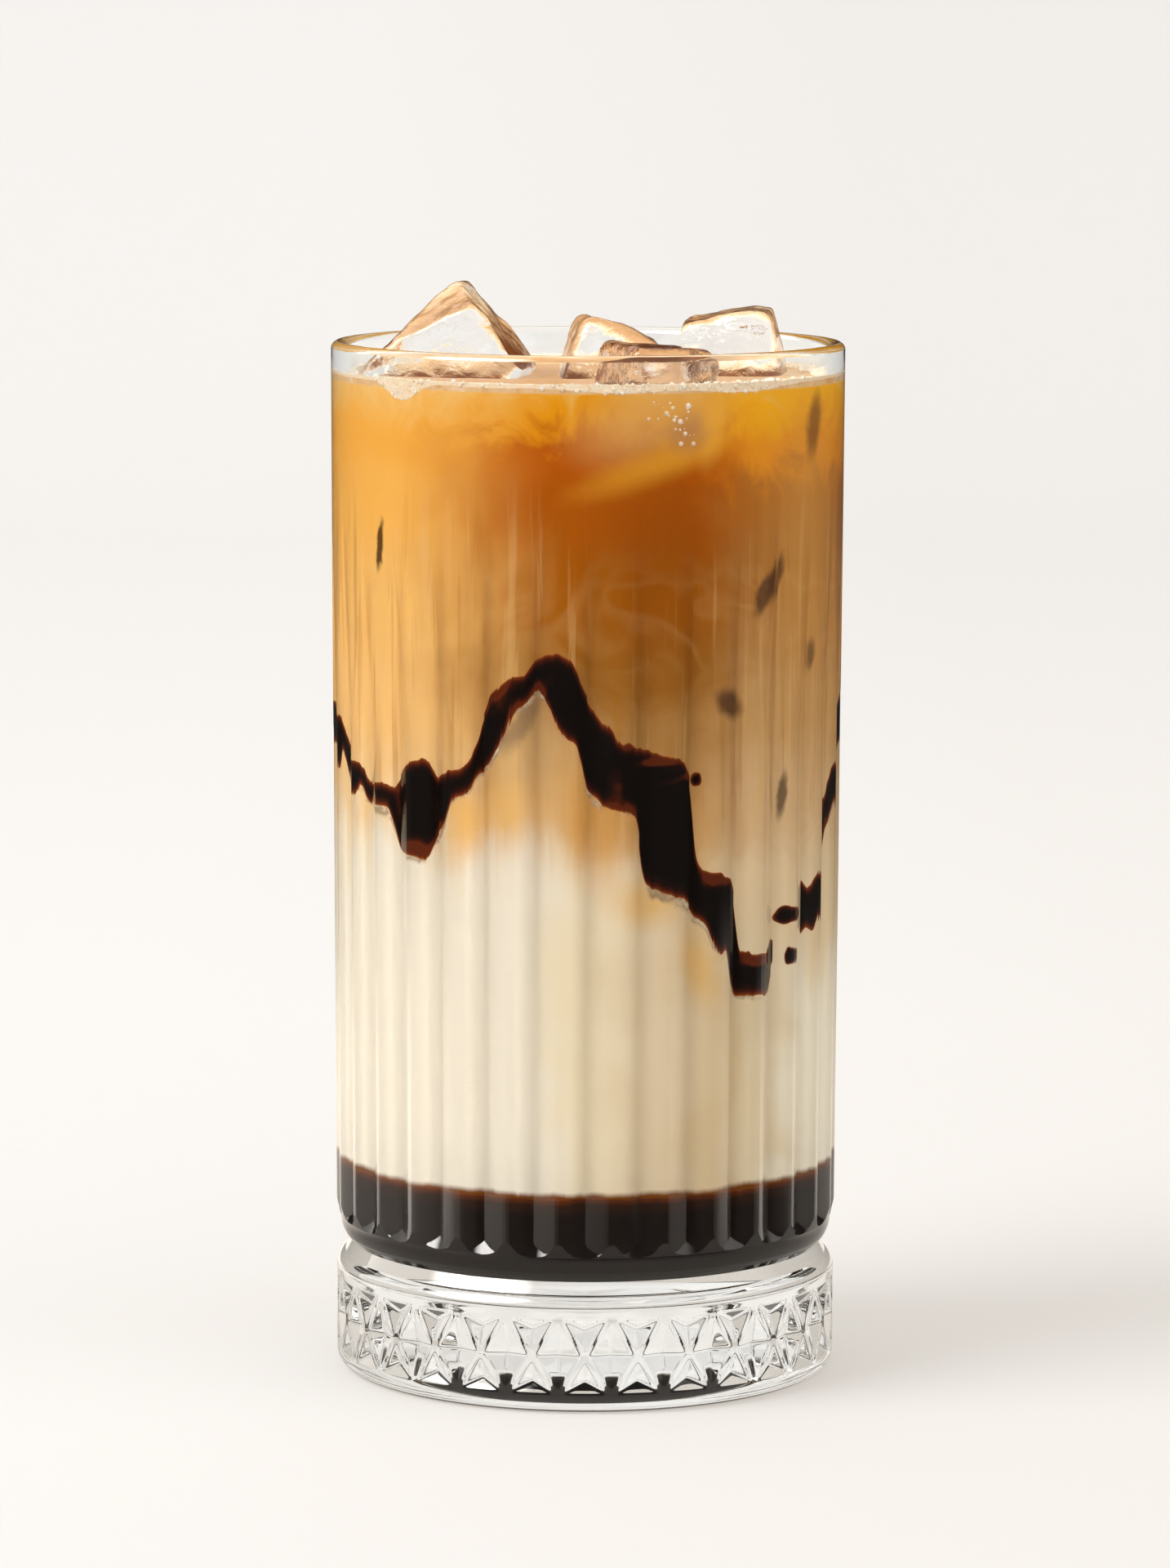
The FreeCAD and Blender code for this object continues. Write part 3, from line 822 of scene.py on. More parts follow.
def drinkGroup():
    # the colour of milk and coffee at every place in the glass, with painted light at the left and painted
    # shade towards the right
    d = drinkSizes
    looks = drinkLooks
    group, given, made = newGroup("drinkColour", [("Place", "NodeSocketVector", None)],
                                  [("Colour", "NodeSocketColor")])
    place = given.outputs["Place"]
    x, y, z = splitPlace(group, place)
    # the top of the milk
    fall = doMath(group, "MULTIPLY", x, -d["milkFall"] / glassSizes["hollowRadius"])
    turn = doMath(group, "MULTIPLY", doMath(group, "ADD", x, d["waveShift"]),
                  2.0 * math.pi / d["waveLength"])
    wave = doMath(group, "MULTIPLY", doMath(group, "COSINE", turn), d["milkWave"])
    level = doMath(group, "ADD", doMath(group, "ADD", fall, wave), d["milkLevel"])
    # slow clouds, drawn-out streaks and curls
    clouds = noiseOn(group, place, 0.07, 2.0, 0.5, 0.4)
    streaks = noiseOn(group, stretched(group, place, 1.0, 0.09), 0.22, 4.0, 0.6)
    curls = noiseOn(group, place, 0.11, 5.0, 0.62, 1.6)
    wander = doMath(group, "ADD", swing(group, clouds, looks["cloudWander"]),
                    swing(group, streaks, looks["streakWander"]))
    above = doMath(group, "ADD", doMath(group, "SUBTRACT", z, level), wander)
    rise = doMath(group, "ADD", z, swing(group, curls, looks["curlRise"]))
    drift = doMath(group, "ADD", x, swing(group, clouds, looks["cloudDrift"]))
    low, high = looks["coffeeFrom"], looks["coffeeTo"]
    share = remap(group, rise, low, high, smooth=False)
    # painted light and shade: the coffee's lit colour at the left passes into its deeper shaded colour in the
    # middle and at the right
    coffeeLitAndShaded = []
    for label in ("left", "middle", "right"):
        stops = [((height - low) / (high - low), shade) for height, shade in looks[label]]
        coffeeLitAndShaded.append(rampOf(group, share, stops))
    coffee = mixColours(group, remap(group, drift, *looks["leftToMiddle"]), coffeeLitAndShaded[0], coffeeLitAndShaded[1])
    coffee = mixColours(group, remap(group, drift, *looks["middleToRight"]), coffee, coffeeLitAndShaded[2])
    wall = glassSizes["hollowRadius"]
    # painted light and shade: the milk is paler at the left, where the light falls, and deeper right of the
    # middle
    milk = rampOf(group, remap(group, drift, -wall, wall, smooth=False),
                  [((across + wall) / (2.0 * wall), shade) for across, shade in looks["milk"]])
    colour = mixColours(group, remap(group, above, *looks["milkToCoffee"]), milk, coffee)
    # pale wisps of milk that hang in the coffee
    swirl = noiseOn(group, place, 0.075, 2.0, 0.4, 1.5)
    thin = doMath(group, "ABSOLUTE", doMath(group, "SUBTRACT", swirl, 0.5))
    wisps = remap(group, thin, 0.09, 0.0)
    window = doMath(group, "MULTIPLY", remap(group, z, *looks["wispRise"]),
                    remap(group, z, *looks["wispEnd"]))
    wisps = doMath(group, "MULTIPLY", doMath(group, "MULTIPLY", wisps, window), looks["wispStrength"])
    colour = mixColours(group, wisps, colour, looks["wisp"])
    # thin streaks run down the wall
    threads = noiseOn(group, stretched(group, place, 1.0, 0.035), 0.55, 3.0, 0.6)
    lighter = remap(group, threads, 0.54, 0.68, 0.0, 0.3)
    darker = remap(group, threads, 0.46, 0.32, 0.0, 0.34)
    reach = doMath(group, "MULTIPLY", remap(group, z, *looks["threadRise"]),
                   remap(group, z, *looks["threadEnd"]))
    colour = mixColours(group, doMath(group, "MULTIPLY", lighter, reach), colour, looks["paleThread"])
    colour = mixColours(group, doMath(group, "MULTIPLY", darker, reach), colour, looks["darkThread"])
    # the syrup stains the lowest milk
    stain = doMath(group, "ADD", z, swing(group, streaks, looks["stainWander"]))
    first, last = (d["syrupLevel"] + above for above in looks["stainReach"])
    colour = mixColours(group, remap(group, stain, first, last), colour, looks["syrupStain"])
    # the soft marks are seen on the wall, painted highlights and painted shade among them
    patch = patchGroup()
    jitter = swing(group, noiseOn(group, place, 0.5, 2.0), looks["markWander"])
    arc = doMath(group, "ADD", arcOnWall(group, x, y), jitter)
    for angle, height, wide, tall, lean, softness, strength, shade in looks["marks"]:
        spot = useGroup(group, patch, **{
            "Arc": arc, "Height": z, "Middle Arc": math.radians(angle) * innerWallAt(height),
            "Middle Height": height, "Half Width": wide, "Half Height": tall, "Lean": lean,
            "Softness": softness})
        mask = doMath(group, "MULTIPLY", spot.outputs["Mask"], strength)
        colour = mixColours(group, mask, colour, shade)
    feed(group, made.inputs["Colour"], colour)
    return group


def drinkMaterial(name, group, topFoam):
    material, tree, shader, place = newMaterial(name, **{
        "Roughness": 0.4, "Specular IOR Level": 0.06, "IOR": 1.33})
    colour = useGroup(tree, group, Place=place).outputs["Colour"]
    if topFoam:
        # thin pale foam lies on the surface
        level = drinkSizes["coffeeLevel"]
        low, high = (level - depth for depth in drinkLooks["frothDepth"])
        cover = remap(tree, splitPlace(tree, place)["Z"], low, high)
        froth = noiseOn(tree, place, 0.35, 6.0, 0.65)
        shade = rampOf(tree, froth, [(0.3, tone(226, 176, 118)), (0.5, tone(240, 204, 156)),
                                     (0.7, tone(250, 228, 196))])
        radius = doVector(tree, "LENGTH", doVector(tree, "MULTIPLY", place, (1.0, 1.0, 0.0)))
        wall = innerWallAt(level)
        start, end = (wall - inward for inward in drinkLooks["roundIceFrom"])
        colour = mixColours(tree, remap(tree, radius, start, end), colour, drinkLooks["roundIce"])
        start, end = (wall - inward for inward in drinkLooks["thinnerFrom"])
        thinner = remap(tree, radius, start, end, 0.0, 0.7)
        shade = mixColours(tree, thinner, shade, drinkLooks["surfaceMiddle"])
        colour = mixColours(tree, cover, colour, shade)
    feed(tree, shader.inputs["Base Color"], colour)
    ripples = noiseOn(tree, place, 0.3, 3.0)
    bumpFrom(tree, shader, ripples, 0.15, 0.4)
    return material


def syrupMaterial():
    material, tree, shader, place = newMaterial("chocolateSyrup", **{
        "Roughness": 0.3, "Specular IOR Level": 0.1, "IOR": 1.4})
    cloud = noiseOn(tree, stretched(tree, place, 1.0, 0.2), 0.25, 4.0, 0.6)
    height = doMath(tree, "ADD", splitPlace(tree, place)["Z"], doMath(tree, "MULTIPLY", cloud, 1.2))
    low, high = drinkSizes["syrupLevel"] - 2.2, drinkSizes["syrupLevel"] + 0.7
    shade = rampOf(tree, remap(tree, height, low, high, smooth=False), [
        (0.0, tone(24, 14, 10)), (0.6, tone(44, 22, 10)), (0.85, tone(84, 38, 10)),
        (1.0, tone(120, 62, 18))])
    feed(tree, shader.inputs["Base Color"], shade)
    bumpFrom(tree, shader, cloud, 0.1, 0.3)
    return material


iceSizes = {
    "weld": 0.002, "voxel": 0.55, "softenShare": 0.6, "softenRounds": 4,
    "melt": 0.9, "meltScale": 0.11, "meltShift": 0.55, "dimples": 0.22, "dimpleScale": 0.45,
    "cavityInset": 0.25,
    "cubes": ["ice_left", "ice_middle", "ice_front", "ice_right"],
    # where a corner of a cube has melted flat: a place on the flat, and the way it faces
    "flats": {
        "ice_left": [((-28.1, -7.0, 145.4), (-0.41, -0.40, 0.82)),
                     ((-13.0, 0.0, 149.3), (0.77, -0.1, 0.62))],
    },
}


def trimFlats(bm, flats):
    for place, facing in flats:
        geometry = list(bm.verts) + list(bm.edges) + list(bm.faces)
        cut = bmesh.ops.bisect_plane(bm, geom=geometry, plane_co=Vector(place) * unit,
                                     plane_no=Vector(facing).normalized(), clear_outer=True)
        edges = [item for item in cut["geom_cut"] if isinstance(item, bmesh.types.BMEdge)]
        if edges:
            bmesh.ops.contextual_create(bm, geom=edges)


def iceMaterial():
    material, tree, shader, place = newMaterial("clearIce", **{
        "Base Color": (0.99, 0.995, 1.0, 1.0), "IOR": 1.31, "Transmission Weight": 1.0,
        "Roughness": 0.02})
    frost = noiseOn(tree, place, 0.22, 5.0, 0.6, 0.8)
    feed(tree, shader.inputs["Roughness"], remap(tree, frost, 0.52, 0.72, 0.0, 0.22))
    ripples = noiseOn(tree, place, 0.35, 4.0, 0.55, 0.6)
    bumpFrom(tree, shader, ripples, 0.7, 0.5)
    return material


def makeIce(node, seed, material):
    # the cube's own solid, melted into soft uneven faces
    s = iceSizes
    bm = bmesh.new()
    bm.from_mesh(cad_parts[node].data)
    bmesh.ops.remove_doubles(bm, verts=bm.verts, dist=s["weld"] * unit)
    trimFlats(bm, s["flats"].get(node, []))
    mesh = bpy.data.meshes.new(node + "_clear")
    bm.to_mesh(mesh)
    bm.free()
    piece = placePiece(node + "_clear", mesh)
    remesh = piece.modifiers.new("voxels", "REMESH")
    remesh.mode = "VOXEL"
    remesh.voxel_size = s["voxel"] * unit
    soften = piece.modifiers.new("soften", "SMOOTH")
    soften.factor = s["softenShare"]
    soften.iterations = s["softenRounds"]
    bakeModifiers(piece)
    bm = bmesh.new()
    bm.from_mesh(piece.data)
    bm.normal_update()
    away = Vector((seed * 7.3, seed * 3.1, seed * 5.7))
    for vertex in bm.verts:
        place = vertex.co / unit
        slow = noise.noise(place * s["meltScale"] + away) - s["meltShift"]
        fine = noise.noise(place * s["dimpleScale"] + away)
        vertex.co += vertex.normal * (slow * s["melt"] + fine * s["dimples"]) * unit
    bm.to_mesh(piece.data)
    bm.free()
    piece.data.materials.clear()
    piece.data.materials.append(material)
    finishShading(piece, 60.0)
    return piece


def carveFor(coffee, cubes):
    # the drink stands round the ice; its hollow is a little smaller, so that no gap shows
    inset = iceSizes["cavityInset"] * unit
    for cube in cubes:
        cutter = cube.copy()
        cutter.data = cube.data.copy()
        cutter.name = "cutter"
        bpy.context.scene.collection.objects.link(cutter)
        bm = bmesh.new()
        bm.from_mesh(cutter.data)
        bm.normal_update()
        for vertex in bm.verts:
            vertex.co -= vertex.normal * inset
        bm.to_mesh(cutter.data)
        bm.free()
        cut = coffee.modifiers.new("cut", "BOOLEAN")
        cut.operation = "DIFFERENCE"
        cut.solver = "EXACT"
        cut.object = cutter
        bakeModifiers(coffee)
        bpy.data.objects.remove(cutter)
    while len(coffee.data.materials) > 1:
        coffee.data.materials.pop()
    for polygon in coffee.data.polygons:
        polygon.material_index = 0
    finishShading(coffee, 30.0, outward=False)


sauceSizes = {
    "columns": 1440, "rows": 12, "intoWall": 0.16, "thickness": 1.4,
    "leastTall": 0.8, "depthReach": 2.2, "backGap": 0.1,
    "rounding": 14,
    "edgeNoise": [(0.35, 0.25, 0.0), (0.4, 0.9, 5.0), (0.2, 2.3, 7.0)],   # how far, how fine, where
    # here the ribbon dips into the drink
    "sinkFrom": 51.0, "sinkTo": 60.0, "sinkOver": (1.0, 0.7), "sink": 2.6,
    # the ribbon's edges in front: angle, lower and upper height
    "front": [
        (-81, 90.3, 93.4), (-75.8, 85.4, 90.4), (-70.8, 82.5, 88.1), (-66.7, 85.3, 88.2),
        (-63.2, 82.3, 85.5), (-59.3, 82.8, 85.5), (-53.5, 82.7, 86.1), (-51.7, 80.2, 85.4),
        (-49.6, 76.9, 86.7), (-45.9, 76.6, 88.8), (-40.7, 75.7, 90.1), (-39, 77.2, 88.9),
        (-37.6, 78.8, 87.4), (-34.8, 80.9, 88.1), (-31.6, 85.5, 89.2), (-28.6, 85.8, 90.2),
        (-26.4, 88.2, 92.9), (-24.2, 89.2, 97), (-21.9, 90.7, 99.9), (-19.5, 92.9, 101.4),
        (-18.1, 96.9, 101.8), (-15.4, 98.1, 102.5), (-13, 99.5, 104), (-10.6, 100.5, 104.9),
        (-7.9, 98, 105.6), (-5.8, 94.1, 105.3), (-3, 93.4, 104.3), (-1.5, 90.4, 100.5),
        (-0.4, 87, 100), (1.7, 86.4, 97.6), (3.7, 85, 95.7), (5.8, 84.2, 95), (7.3, 83.8, 92.8),
        (10, 83.6, 93.3), (11.1, 83, 92.2), (12.3, 81.8, 92.3), (12.8, 74.7, 92.3),
        (14.4, 73.6, 92.3), (19.3, 72.1, 91.2), (22.3, 71.5, 90.5), (23.7, 70.9, 89),
        (25.4, 69.2, 87.3), (25.8, 68.9, 76.8), (27.9, 68, 75.3), (29, 68.1, 75.2),
        (31, 65.3, 74.8), (32.5, 62.7, 74.4), (34.1, 65.2, 74), (35.5, 58.6, 73.5),
        (36.9, 57.4, 71.7), (37.8, 57.4, 66.6), (38.3, 57.3, 63.5), (42.5, 57, 63.1),
        (46.5, 56.6, 63.1), (48.4, 59.4, 65.3), (50.5, 61.9, 64), (60.4, 62.4, 71.1),
        (62, 64.5, 72.5), (64.1, 65.2, 70.2), (67.7, 64.1, 71.9), (70.3, 67.4, 73.1),
        (73.8, 72.9, 81.5), (77.4, 79.5, 83),
    ],
    # where the light comes through: angle, height, half width and half height in millimetres,
    # lean and how much thinner
    "thinPlaces": [(-43.0, 77.0, 2.4, 1.9, 0.0, 0.95), (17.5, 90.6, 3.6, 0.55, -8.0, 0.85),
                   (21.5, 88.0, 2.2, 0.5, -14.0, 0.6), (6.5, 87.5, 0.8, 2.6, 0.0, 0.5),
                   (31.0, 73.5, 1.6, 0.9, 0.0, 0.6), (-50.0, 83.0, 0.6, 2.2, 0.0, 0.6),
                   (43.0, 61.8, 2.4, 0.8, 0.0, 0.6), (-21.0, 98.0, 1.0, 2.0, 30.0, 0.4)],
    # loose drops: angle, height, half width in degrees and half height
    "drops": [(26.4, 87.9, 1.5, 1.0), (54.2, 67.6, 4.2, 1.25), (55.8, 61.8, 1.5, 1.3),
              (-131.0, 79.0, 1.6, 1.1), (158.0, 71.5, 1.8, 1.2)],
}


def sauceStations():
    # the ribbon's edges, read from the inner face of its solid: angle, lower and upper height
    places = [vertex.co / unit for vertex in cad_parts["chocolate_sauce"].data.vertices]
    innerFace = min(place.xy.length for place in places) + 0.05
    found = {}
    for place in places:
        if place.xy.length < innerFace:
            angle = round(math.degrees(math.atan2(place.x, -place.y)) % 360.0, 1)
            low, high = found.get(angle, (1e9, -1e9))
            found[angle] = (min(low, place.z), max(high, place.z))
    return [(angle, *found[angle]) for angle in sorted(found)]


def throughPoints(stations, angle, column):
    # a smooth line through the stations, closed round the glass
    count = len(stations)
    place = angle % 360.0
    after = next((i for i, row in enumerate(stations) if row[0] > place), 0)
    picks = [stations[(after + shift) % count] for shift in (-2, -1, 0, 1)]
    gap = (picks[2][0] - picks[1][0]) % 360.0
    t = ((place - picks[1][0]) % 360.0) / gap
    p0, p1, p2, p3 = (row[column] for row in picks)
    return 0.5 * (2 * p1 + (p2 - p0) * t + (2 * p0 - 5 * p1 + 4 * p2 - p3) * t ** 2
                  + (3 * p1 - p0 - 3 * p2 + p3) * t ** 3)


def sauceEdgeAt(stations, angle):
    # lower and upper height of the ribbon at an angle
    front = sauceSizes["front"]
    turn = (angle + 180.0) % 360.0 - 180.0
    if turn <= front[0][0] or turn >= front[-1][0]:
        return throughPoints(stations, angle, 1), throughPoints(stations, angle, 2)
    after = next(index for index, row in enumerate(front) if row[0] > turn)
    first, second = front[after - 1], front[after]
    share = (turn - first[0]) / (second[0] - first[0])
    return tuple(first[side] + (second[side] - first[side]) * share for side in (1, 2))


def aroundGlass(angle, height):
    # a place for the noise at an angle, so that a pattern closes round the glass
    across, back = wayAt(angle)
    radius = glassSizes["hollowRadius"]
    return Vector((across * radius, back * radius, height))


def sauceEdges():
    # both edges for every column: the corners are rounded, then the lines wander a little
    s = sauceSizes
    stations = sauceStations()
    count = s["columns"]
    pairs = [sauceEdgeAt(stations, 360.0 * column / count) for column in range(count)]
    sides = []
    for side in (0, 1):
        line = [pair[side] for pair in pairs]
        for _ in range(s["rounding"]):
            line = [(line[index - 1] + 2.0 * line[index] + line[(index + 1) % count]) / 4.0
                    for index in range(count)]
        for column in range(count):
            around = aroundGlass(360.0 * column / count, 9.0 * side)
            for far, fine, shift in s["edgeNoise"]:
                line[column] += far * noise.noise(around * fine + Vector((0, 0, shift)))
        sides.append(line)
    return [(low, max(high, low + s["leastTall"])) for low, high in zip(*sides)]


def sauceMaterial():
    material, tree, shader, place = newMaterial("chocolateSauce", **{
        "Roughness": 0.3, "Specular IOR Level": 0.05, "IOR": 1.4})
    edge = addNode(tree, "ShaderNodeAttribute", attribute_name="depthOfSauce").outputs["Fac"]
    cloud = noiseOn(tree, place, 0.5, 4.0, 0.6)
    thin = noiseOn(tree, stretched(tree, place, 1.0, 0.6), 0.16, 2.0, 0.5, 0.5)
    depth = doMath(tree, "ADD", edge, swing(tree, cloud, 0.3))
    depth = doMath(tree, "SUBTRACT", depth, remap(tree, thin, 0.58, 0.72, 0.0, 0.4))
    x, y, z = splitPlace(tree, place)
    wall = innerWallAt(drinkSizes["milkLevel"])
    arc = doMath(tree, "ADD", arcOnWall(tree, x, y), cloud)
    patch = patchGroup()
    for angle, height, wide, tall, lean, amount in sauceSizes["thinPlaces"]:
        spot = useGroup(tree, patch, **{
            "Arc": arc, "Height": z, "Middle Arc": math.radians(angle) * wall + 0.5,
            "Middle Height": height, "Half Width": wide, "Half Height": tall, "Lean": lean,
            "Softness": 0.8})
        depth = doMath(tree, "SUBTRACT", depth, doMath(tree, "MULTIPLY", spot.outputs["Mask"], amount))
    # only its own edges are thinner than this
    depth = doMath(tree, "MAXIMUM", depth, doMath(tree, "MINIMUM", edge, 0.2))
    shade = rampOf(tree, depth, [(0.0, tone(166, 92, 40)), (0.12, tone(112, 46, 16)),
                                 (0.3, tone(62, 20, 6)), (0.55, tone(28, 8, 2)), (0.85, tone(12, 3, 1))])
    feed(tree, shader.inputs["Base Color"], shade)
    bumpFrom(tree, shader, cloud, 0.2, 0.3)
    return material


def addDrop(angle, height, halfWide, halfTall, vertices, faces, depths):
    # a flat oval drop between the wall and the drink
    s = sauceSizes
    around, rings = 24, 4
    layers = []
    for layer in (0, 1):
        grid = []
        for ring in range(1, rings + 1):
            share = ring / rings
            row = []
            for index in range(around):
                turn = 2.0 * math.pi * index / around
                uneven = 1.0 + 0.16 * noise.noise(Vector((math.cos(turn), math.sin(turn), angle)) * 1.3)
                toSide = angle + halfWide * share * uneven * math.cos(turn)
                rise = height + halfTall * share * uneven * math.sin(turn)
                bulge = layer * (0.15 + 0.7 * s["thickness"] * math.sqrt(1.0 - share ** 2))
                radius = innerWallAt(rise) + s["intoWall"] - bulge
                vertices.append(placeAt(radius, toSide, rise))
                depths.append(1.0 if layer else min(1.0, (1.0 - share) * halfTall / 0.9))
                row.append(len(vertices) - 1)
            grid.append(row)
        layers.append(grid)
    for layer, grid in enumerate(layers):
        for first, second in zip(grid, grid[1:]):
            for index in range(around):
                following = (index + 1) % around
                corners = [first[index], first[following], second[following], second[index]]
                faces.append(corners[::-1] if layer else corners)
        faces.append(grid[0] if layer else grid[0][::-1])
    for index in range(around):
        following = (index + 1) % around
        faces.append([layers[0][-1][index], layers[0][-1][following],
                      layers[1][-1][following], layers[1][-1][index]])


def rimMaterial():
    material, tree, shader, place = newMaterial("paleMilk", **{
        "Roughness": 0.4, "Specular IOR Level": 0.06, "IOR": 1.33})
    cloud = noiseOn(tree, place, 0.45, 4.0, 0.6)
    shade = rampOf(tree, cloud, [(0.35, tone(196, 168, 132)), (0.5, tone(226, 204, 170)),
                                 (0.65, tone(246, 230, 200))])
    feed(tree, shader.inputs["Base Color"], shade)
    fade = addNode(tree, "ShaderNodeAttribute", attribute_name="fadeOfRim").outputs["Fac"]
    gaps = noiseOn(tree, place, 0.2, 3.0, 0.6)
    fade = doMath(tree, "MULTIPLY", fade, remap(tree, gaps, 0.44, 0.62, 0.0, 0.85))
    feed(tree, shader.inputs["Alpha"], fade)
    bumpFrom(tree, shader, cloud, 0.1, 0.3)
    return material


rimSizes = {
    "wide": 1.1, "leastWide": 0.25, "uneven": 1.4, "unevenScale": 0.3, "overlap": 0.5, "steps": 6,
    "intoWall": (0.13, 0.11), "fadeFrom": 0.35,
    "gapStart": (42.0, 46.0), "gapEnd": (68.0, 64.0),    # no film where the ribbon dips
}


def makeRim(edges):
    # a thin pale film of milk on the wall, just under the ribbon
    s = rimSizes
    vertices, fades, grid = [], [], []
    down = list(range(s["steps"] + 1))
    for column, (low, _) in enumerate(edges):
        angle = 360.0 * column / len(edges)
        uneven = s["uneven"] * noise.noise(aroundGlass(angle, 2.0) * s["unevenScale"])
        wide = s["wide"] * max(s["leastWide"], 1.0 + uneven)
        clear = 1.0 - smoothStep(*s["gapStart"], angle) * smoothStep(*s["gapEnd"], angle)
        row = []
        for intoWall, order in zip(s["intoWall"], (down, down[::-1])):
            for index in order:
                height = low + s["overlap"] - (wide + s["overlap"]) * index / s["steps"]
                vertices.append(placeAt(innerWallAt(height) + intoWall, angle, height))
                fades.append(clear * (1.0 - smoothStep(s["fadeFrom"], 1.0, index / s["steps"])))
                row.append(len(vertices) - 1)
        grid.append(row)
    piece = newPiece("milkRim", vertices, closeRing(grid), rimMaterial())
    setValues(piece, "fadeOfRim", fades)
    finishShading(piece, 50.0)
    attach(piece, "milk")
    return piece


def makeSauce(edges):
    s = sauceSizes
    vertices, depths, grid = [], [], []
    before, after = s["sinkOver"]
    for column, (low, high) in enumerate(edges):
        angle = 360.0 * column / s["columns"]
        sunk = smoothStep(s["sinkFrom"] - before, s["sinkFrom"], angle)
        sunk = s["sink"] * sunk * smoothStep(s["sinkTo"] + after, s["sinkTo"], angle)
        row = []
        for index in range(s["rows"] + 1):
            share = 0.5 - 0.5 * math.cos(math.pi * index / s["rows"])
            height = low + (high - low) * share
            edge = min(share, 1.0 - share) * (high - low)
            vertices.append(placeAt(innerWallAt(height) + s["intoWall"] - sunk, angle, height))
            depths.append(min(1.0, edge / s["depthReach"]))
            row.append(len(vertices) - 1)
        behind = []
        for index in range(s["rows"], -1, -1):
            share = 0.5 - 0.5 * math.cos(math.pi * index / s["rows"])
            height = low + (high - low) * share
            bulge = math.sin(math.pi * share)
            radius = innerWallAt(height) - s["backGap"] - s["thickness"] * bulge - sunk
            vertices.append(placeAt(radius, angle, height))
            depths.append(1.0)
            behind.append(len(vertices) - 1)
        grid.append(row + behind)
    faces = closeRing(grid)
    for drop in s["drops"]:
        addDrop(*drop, vertices, faces, depths)
    piece = newPiece("sauceRibbon", vertices, faces, sauceMaterial())
    setValues(piece, "depthOfSauce", depths)
    finishShading(piece, 50.0)
    attach(piece, "sauce", "chocolate_sauce")
    return piece


foamSizes = {
    "columns": 540, "hang": 0.22,
    "density": 2.6, "leastBubble": 0.09, "largestBubble": 0.42, "seed": 4,
    "segments": 8, "rings": 6,
    # thicker froth: angle, half width in degrees and extra depth
    "thick": [(-47.0, 6.0, 2.4), (8.0, 14.0, 0.7), (38.0, 13.0, 0.9), (-24.0, 9.0, 0.2),
              (130.0, 20.0, 0.7), (210.0, 15.0, 0.5)],
    # loose clusters: angle, height, half width in degrees, half height and how dense
    "clusters": [(18.5, 138.6, 5.0, 1.2, 0.45), (21.0, 136.4, 2.4, 1.4, 0.4), (23.0, 134.6, 2.0, 1.0, 0.3)],
}


def foamMaterial():
    material, tree, shader, place = newMaterial("creamFoam", **{
        "Roughness": 0.5, "Specular IOR Level": 0.3})
    froth = noiseOn(tree, place, 1.4, 5.0, 0.7)
    shade = rampOf(tree, froth, [(0.3, tone(246, 208, 160)), (0.46, tone(255, 235, 204)),
                                 (0.62, tone(255, 245, 226))])
    feed(tree, shader.inputs["Base Color"], shade)
    bumpFrom(tree, shader, froth, 0.15, 0.4)
    return material


def bubbleMaterial():
    material, tree, shader, place = newMaterial("bubbleSkin", **{
        "Roughness": 0.25, "Specular IOR Level": 0.5})
    tint = noiseOn(tree, place, 0.6, 3.0, 0.6)
    shade = rampOf(tree, tint, [(0.3, tone(252, 226, 190)), (0.5, tone(255, 244, 224)),
                                (0.68, tone(255, 252, 246))])
    feed(tree, shader.inputs["Base Color"], shade)
    return material


def foamReach(angle):
    # how far the foam hangs down the wall below the surface, and how wide it lies on top
    around = aroundGlass(angle, 0.0)
    hang = foamSizes["hang"] * (1.0 + 0.5 * noise.noise(around * 0.4) + 0.3 * noise.noise(around * 1.4))
    froth = 0.0
    for middle, halfWide, extra in foamSizes["thick"]:
        turn = (angle - middle + 180.0) % 360.0 - 180.0
        froth += extra * math.exp(-(turn / halfWide) ** 2)
    wide = 1.6 + 1.2 * noise.noise(around * 0.2 + Vector((0, 0, 4.0)))
    return max(0.2, hang + froth), max(0.6, wide), froth


def makeFoam(material):
    s = foamSizes
    vertices, grid, froths = [], [], []
    level = drinkSizes["coffeeLevel"] + drinkSizes["meniscus"] - drinkSizes["surfaceDrop"]
    for column in range(s["columns"]):
        angle = 360.0 * column / s["columns"]
        across, back = wayAt(angle)
        hang, wide, froth = foamReach(angle)
        outer = innerWallAt(level) + drinkSizes["intoWall"] + 0.03
        row = []
        profile = [(0.0, -hang), (0.0, -0.5 * hang), (0.0, 0.0), (0.0, 0.14), (0.15 * wide, 0.24),
                   (0.4 * wide, 0.2), (0.7 * wide, 0.08), (wide, -0.4), (0.6 * wide, -1.2),
                   (0.5, -hang - 0.2)]
        for inward, rise in profile:
            radius = outer - inward
            place = Vector((radius * across, radius * back, level + rise))
            if rise > 0.1:
                place.z += 0.12 * noise.noise(place * 1.3)
            vertices.append(place * unit)
            froths.append(froth)
            row.append(len(vertices) - 1)
        grid.append(row)
    piece = newPiece("foamRing", vertices, closeRing(grid), material)
    setValues(piece, "froth", froths)
    finishShading(piece, 60.0)
    return piece


